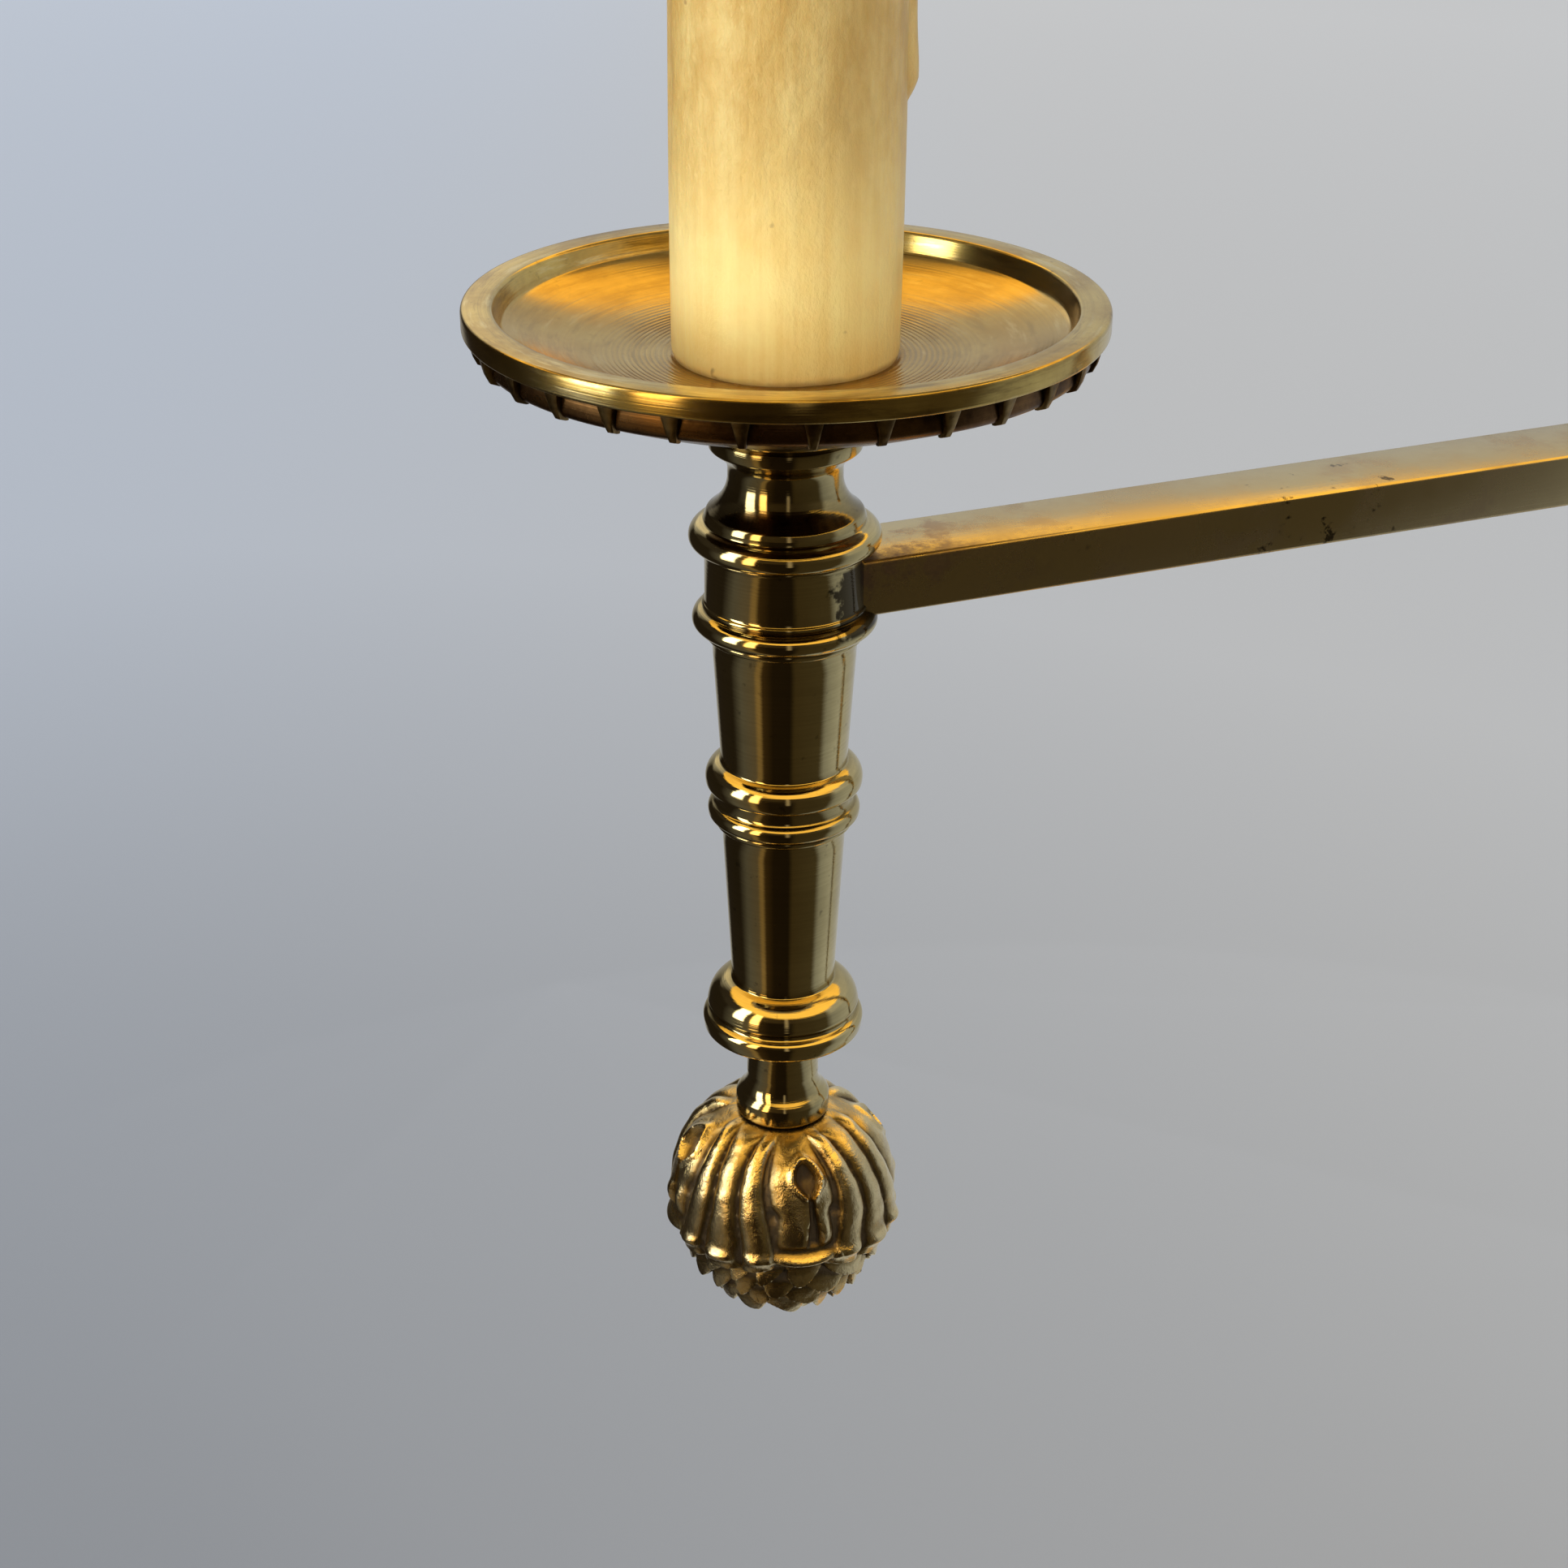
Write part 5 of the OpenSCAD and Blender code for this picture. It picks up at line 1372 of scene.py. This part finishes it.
def floorPaper(name, look):
    finish, tree, shader = startFinish(name)
    lensFoot = camera.matrix_world.translation * Vector((1, 1, 0))
    levelSide = Vector((side.x, side.y, 0)).normalized()
    across, along = look["corner"]
    corner = placeOn(tree, lensFoot + levelSide * across + level * along)
    reach = look["shadeTones"][-1][0]
    stops = [(at / reach, (grey, grey, grey)) for at, grey in look["shadeTones"]]
    tone = colourStops(tree, reckon(tree, "DIVIDE", lengthOf(tree, corner), reach), stops, "LINEAR")
    apart = {0: placeOn(tree, lensFoot), 1: levelSide}
    aside = put(tree, "ShaderNodeVectorMath", apart, operation="DOT_PRODUCT").outputs["Value"]
    # painted light: cooler towards the left, warmer towards the right
    tint = mixColour(tree, rise(tree, aside, look["tintFrom"], look["tintTo"]), look["coolLight"], look["warmLight"])
    setShader(tree, shader, {
        "Base Color": mixColour(tree, 1.0, tone, tint, "MULTIPLY"), "Roughness": 0.9,
        "Normal": bumpOf(tree, blotch(tree, corner, look["grain"], 2.0, 0.5), look["grainDepth"]),
    })
    return finish


def makeFloor(look):
    shape = bmesh.new()
    bmesh.ops.create_circle(shape, cap_ends=True, radius=look["radius"], segments=look["segments"])
    floor = addObject("studioFloor", meshOf("studioFloor", shape))
    floor.data.materials.append(floorPaper("floorPaper", look))
    return floor


studioFloor = makeFloor(floorLook)


# What the brass sees of the room, by degrees from the lens: left is negative

roomRing = {
    "radius": 0.46, "tall": 0.64, "segments": 128, "wallFrom": 0.40, "wallTo": 0.46,
    "aside": 0.09,  # its middle, from the column along the arm
    "offFloor": 0.001,
    "floorBands": [  # degrees, colour: the lower wall, which upright faces mirror
        (-180, (0.46, 0.48, 0.50)), (-158, (0.30, 0.30, 0.30)), (-146, (0.02, 0.016, 0.012)),
        (-98, (0.02, 0.016, 0.012)), (-78, (0.10, 0.10, 0.10)), (-52, (0.12, 0.10, 0.075)),
        (-47, (0.24, 0.17, 0.08)), (-42, (0.24, 0.17, 0.08)), (-37, (0.045, 0.028, 0.012)),
        (-20, (0.015, 0.010, 0.005)), (10, (0.013, 0.009, 0.005)), (18, (0.048, 0.036, 0.018)),
        (66, (0.060, 0.050, 0.030)), (77, (0.26, 0.28, 0.31)), (104, (0.40, 0.43, 0.47)),
        (180, (0.46, 0.48, 0.50)),
    ],
    "wallBands": [  # the upper wall
        (-180, (0.52, 0.54, 0.56)), (-174, (0.52, 0.54, 0.56)), (-168, (0.90, 0.84, 0.70)),
        (-158, (0.90, 0.84, 0.70)), (-151, (0.42, 0.42, 0.42)), (-136, (0.03, 0.025, 0.02)),
        (-80, (0.04, 0.035, 0.03)), (-57, (0.12, 0.085, 0.04)), (-33, (0.06, 0.042, 0.02)),
        (2, (0.04, 0.028, 0.015)), (9, (0.045, 0.032, 0.018)), (40, (0.065, 0.052, 0.03)),
        (70, (0.11, 0.095, 0.065)), (80, (0.45, 0.46, 0.46)), (180, (0.52, 0.54, 0.56)),
    ],
    "windowBands": [  # two windows and a dim pane, added to both walls above the sill
        (-180, (0, 0, 0)), (-79, (0, 0, 0)), (-76, (4.6, 4.6, 4.2)), (-61, (4.6, 4.5, 4.0)), (-58, (0, 0, 0)),
        (-50, (0, 0, 0)), (-47, (4.0, 2.7, 1.1)), (-37, (4.0, 2.7, 1.1)), (-34, (0, 0, 0)), (2, (0, 0, 0)),
        (4, (0.34, 0.29, 0.22)), (7, (0.34, 0.29, 0.22)), (9, (0, 0, 0)), (180, (0, 0, 0)),
    ],
    "sillFrom": 0.265, "sillTo": 0.295,
    "ceiling": (1.55, 0.98, 0.22),
}


def startGlow(name):
    finish = bpy.data.materials.new(name)
    finish.use_nodes = True
    finish.node_tree.nodes.clear()
    return finish, finish.node_tree


def setGlow(tree, colour):
    glow = put(tree, "ShaderNodeEmission", {"Color": colour}).outputs[0]
    put(tree, "ShaderNodeOutputMaterial", {"Surface": glow})


def bandColour(tree, share, bands):
    return colourStops(tree, share, [((at + 180) / 360, tone) for at, tone in bands], "LINEAR")


def wallGlow(name, room):
    finish, tree = startGlow(name)
    toLens = math.radians(photoView["turn"]) + math.pi / 2
    inputs = {"Vector": placeOn(tree, columnAxis), "Axis": (0, 0, 1), "Angle": toLens}
    facing = put(tree, "ShaderNodeVectorRotate", inputs, rotation_type="AXIS_ANGLE").outputs[0]
    apart = alongAxes(tree, facing)
    angle = reckon(tree, "ARCTAN2", apart[1], apart[0])
    share = plus(tree, reckon(tree, "DIVIDE", angle, 2 * math.pi), 0.5)
    low = bandColour(tree, share, room["floorBands"])
    high = bandColour(tree, share, room["wallBands"])
    panes = bandColour(tree, share, room["windowBands"])
    colour = mixColour(tree, rise(tree, apart[2], room["wallFrom"], room["wallTo"]), low, high)
    colour = mixColour(tree, rise(tree, apart[2], room["sillFrom"], room["sillTo"]), colour, panes, "ADD")
    setGlow(tree, colour)
    return finish


def ceilingGlow(name, room):
    finish, tree = startGlow(name)
    setGlow(tree, rgb(room["ceiling"]))
    return finish


def hideFromAllButGloss(thing):
    thing.visible_camera = False
    thing.visible_diffuse = False
    thing.visible_shadow = False
    thing.visible_transmission = False


def makeRoom(room):
    size, tall, count, offFloor = (room[key] for key in ("radius", "tall", "segments", "offFloor"))
    ring, lid, mat = bmesh.new(), bmesh.new(), bmesh.new()
    bmesh.ops.create_cone(ring, cap_ends=False, segments=count, radius1=size, radius2=size, depth=tall)
    for disc in (lid, mat):
        bmesh.ops.create_circle(disc, cap_ends=True, radius=size, segments=count)
    wall, ceiling = wallGlow("wallGlow", room), ceilingGlow("ceilingGlow", room)
    for name, shape, height, finish in (("roomWall", ring, tall / 2 + offFloor, wall),
                                        ("roomCeiling", lid, tall, ceiling),
                                        ("roomMat", mat, offFloor, wall)):
        thing = addObject(name, meshOf(name, shape))
        moveTo(thing.data, columnAxis + Vector((room["aside"], 0, 0)), height)
        thing.data.materials.append(finish)
        hideFromAllButGloss(thing)


makeRoom(roomRing)


# Lights

lampLooks = {  # aside of the drip pan, ahead of it and above it, as the lens sees it
    "leftWindow": {"aside": -1.2, "ahead": -0.7, "above": 0.15, "size": 0.8, "power": 14.0,
                   "colour": (1.0, 0.97, 0.90)},
    "rightFill": {"aside": 0.6, "ahead": -1.2, "above": 0.1, "size": 1.0, "power": 4.0,
                  "colour": (1.0, 0.88, 0.70)},
}
footLook = {  # what the dish throws back on the candle's foot
    "power": 4.2, "colour": (1.0, 0.86, 0.52), "beam": 4.0, "blend": 1.0, "soft": 0.02, "below": 1.0,
}
roomLight = {"colour": (0.92, 0.95, 1.0), "strength": 0.75}


def addLight(name, kind, spot, aim, look):
    lamp = bpy.data.lights.new(name, kind)
    lamp.energy = look["power"]
    lamp.color = look["colour"]
    light = addObject(name, lamp)
    light.location = spot
    light.rotation_euler = (aim - spot).to_track_quat("-Z", "Y").to_euler()
    return light


def linkGroup(name, thing, state):
    group = bpy.data.collections.new(name)
    group.objects.link(thing)
    group.collection_objects[0].light_linking.link_state = state
    return group


panRim = columnAxis + Vector((0, 0, rimZ))
paleFloor = linkGroup("paleFloor", studioFloor, "EXCLUDE")  # no bright pools on the floor
for name, look in lampLooks.items():
    spot = panRim + side * look["aside"] + level * look["ahead"] + Vector((0, 0, look["above"]))
    light = addLight(name, "AREA", spot, panRim, look)
    light.data.shape = "DISK"
    light.data.size = look["size"]
    light.visible_glossy = False
    light.light_linking.receiver_collection = paleFloor

candleFoot = columnAxis + Vector((0, 0, candleLow.z - footLook["below"] * mm))
footGlow = addLight("footGlow", "SPOT", camera.matrix_world.translation, candleFoot, footLook)
footGlow.data.spot_size = math.radians(footLook["beam"])
footGlow.data.spot_blend = footLook["blend"]
footGlow.data.shadow_soft_size = footLook["soft"]
candleOnly = linkGroup("candleOnly", bpy.data.objects["candleSleeve"], "INCLUDE")
footGlow.light_linking.receiver_collection = candleOnly

world = bpy.data.worlds.new("room")
world.use_nodes = True
background = world.node_tree.nodes["Background"]
background.inputs["Color"].default_value = rgb(roomLight["colour"])
background.inputs["Strength"].default_value = roomLight["strength"]
world.cycles_visibility.glossy = False  # the room takes its place in reflections
bpy.context.scene.world = world
bpy.context.scene.view_settings.view_transform = "Standard"
print("stage and lights done")
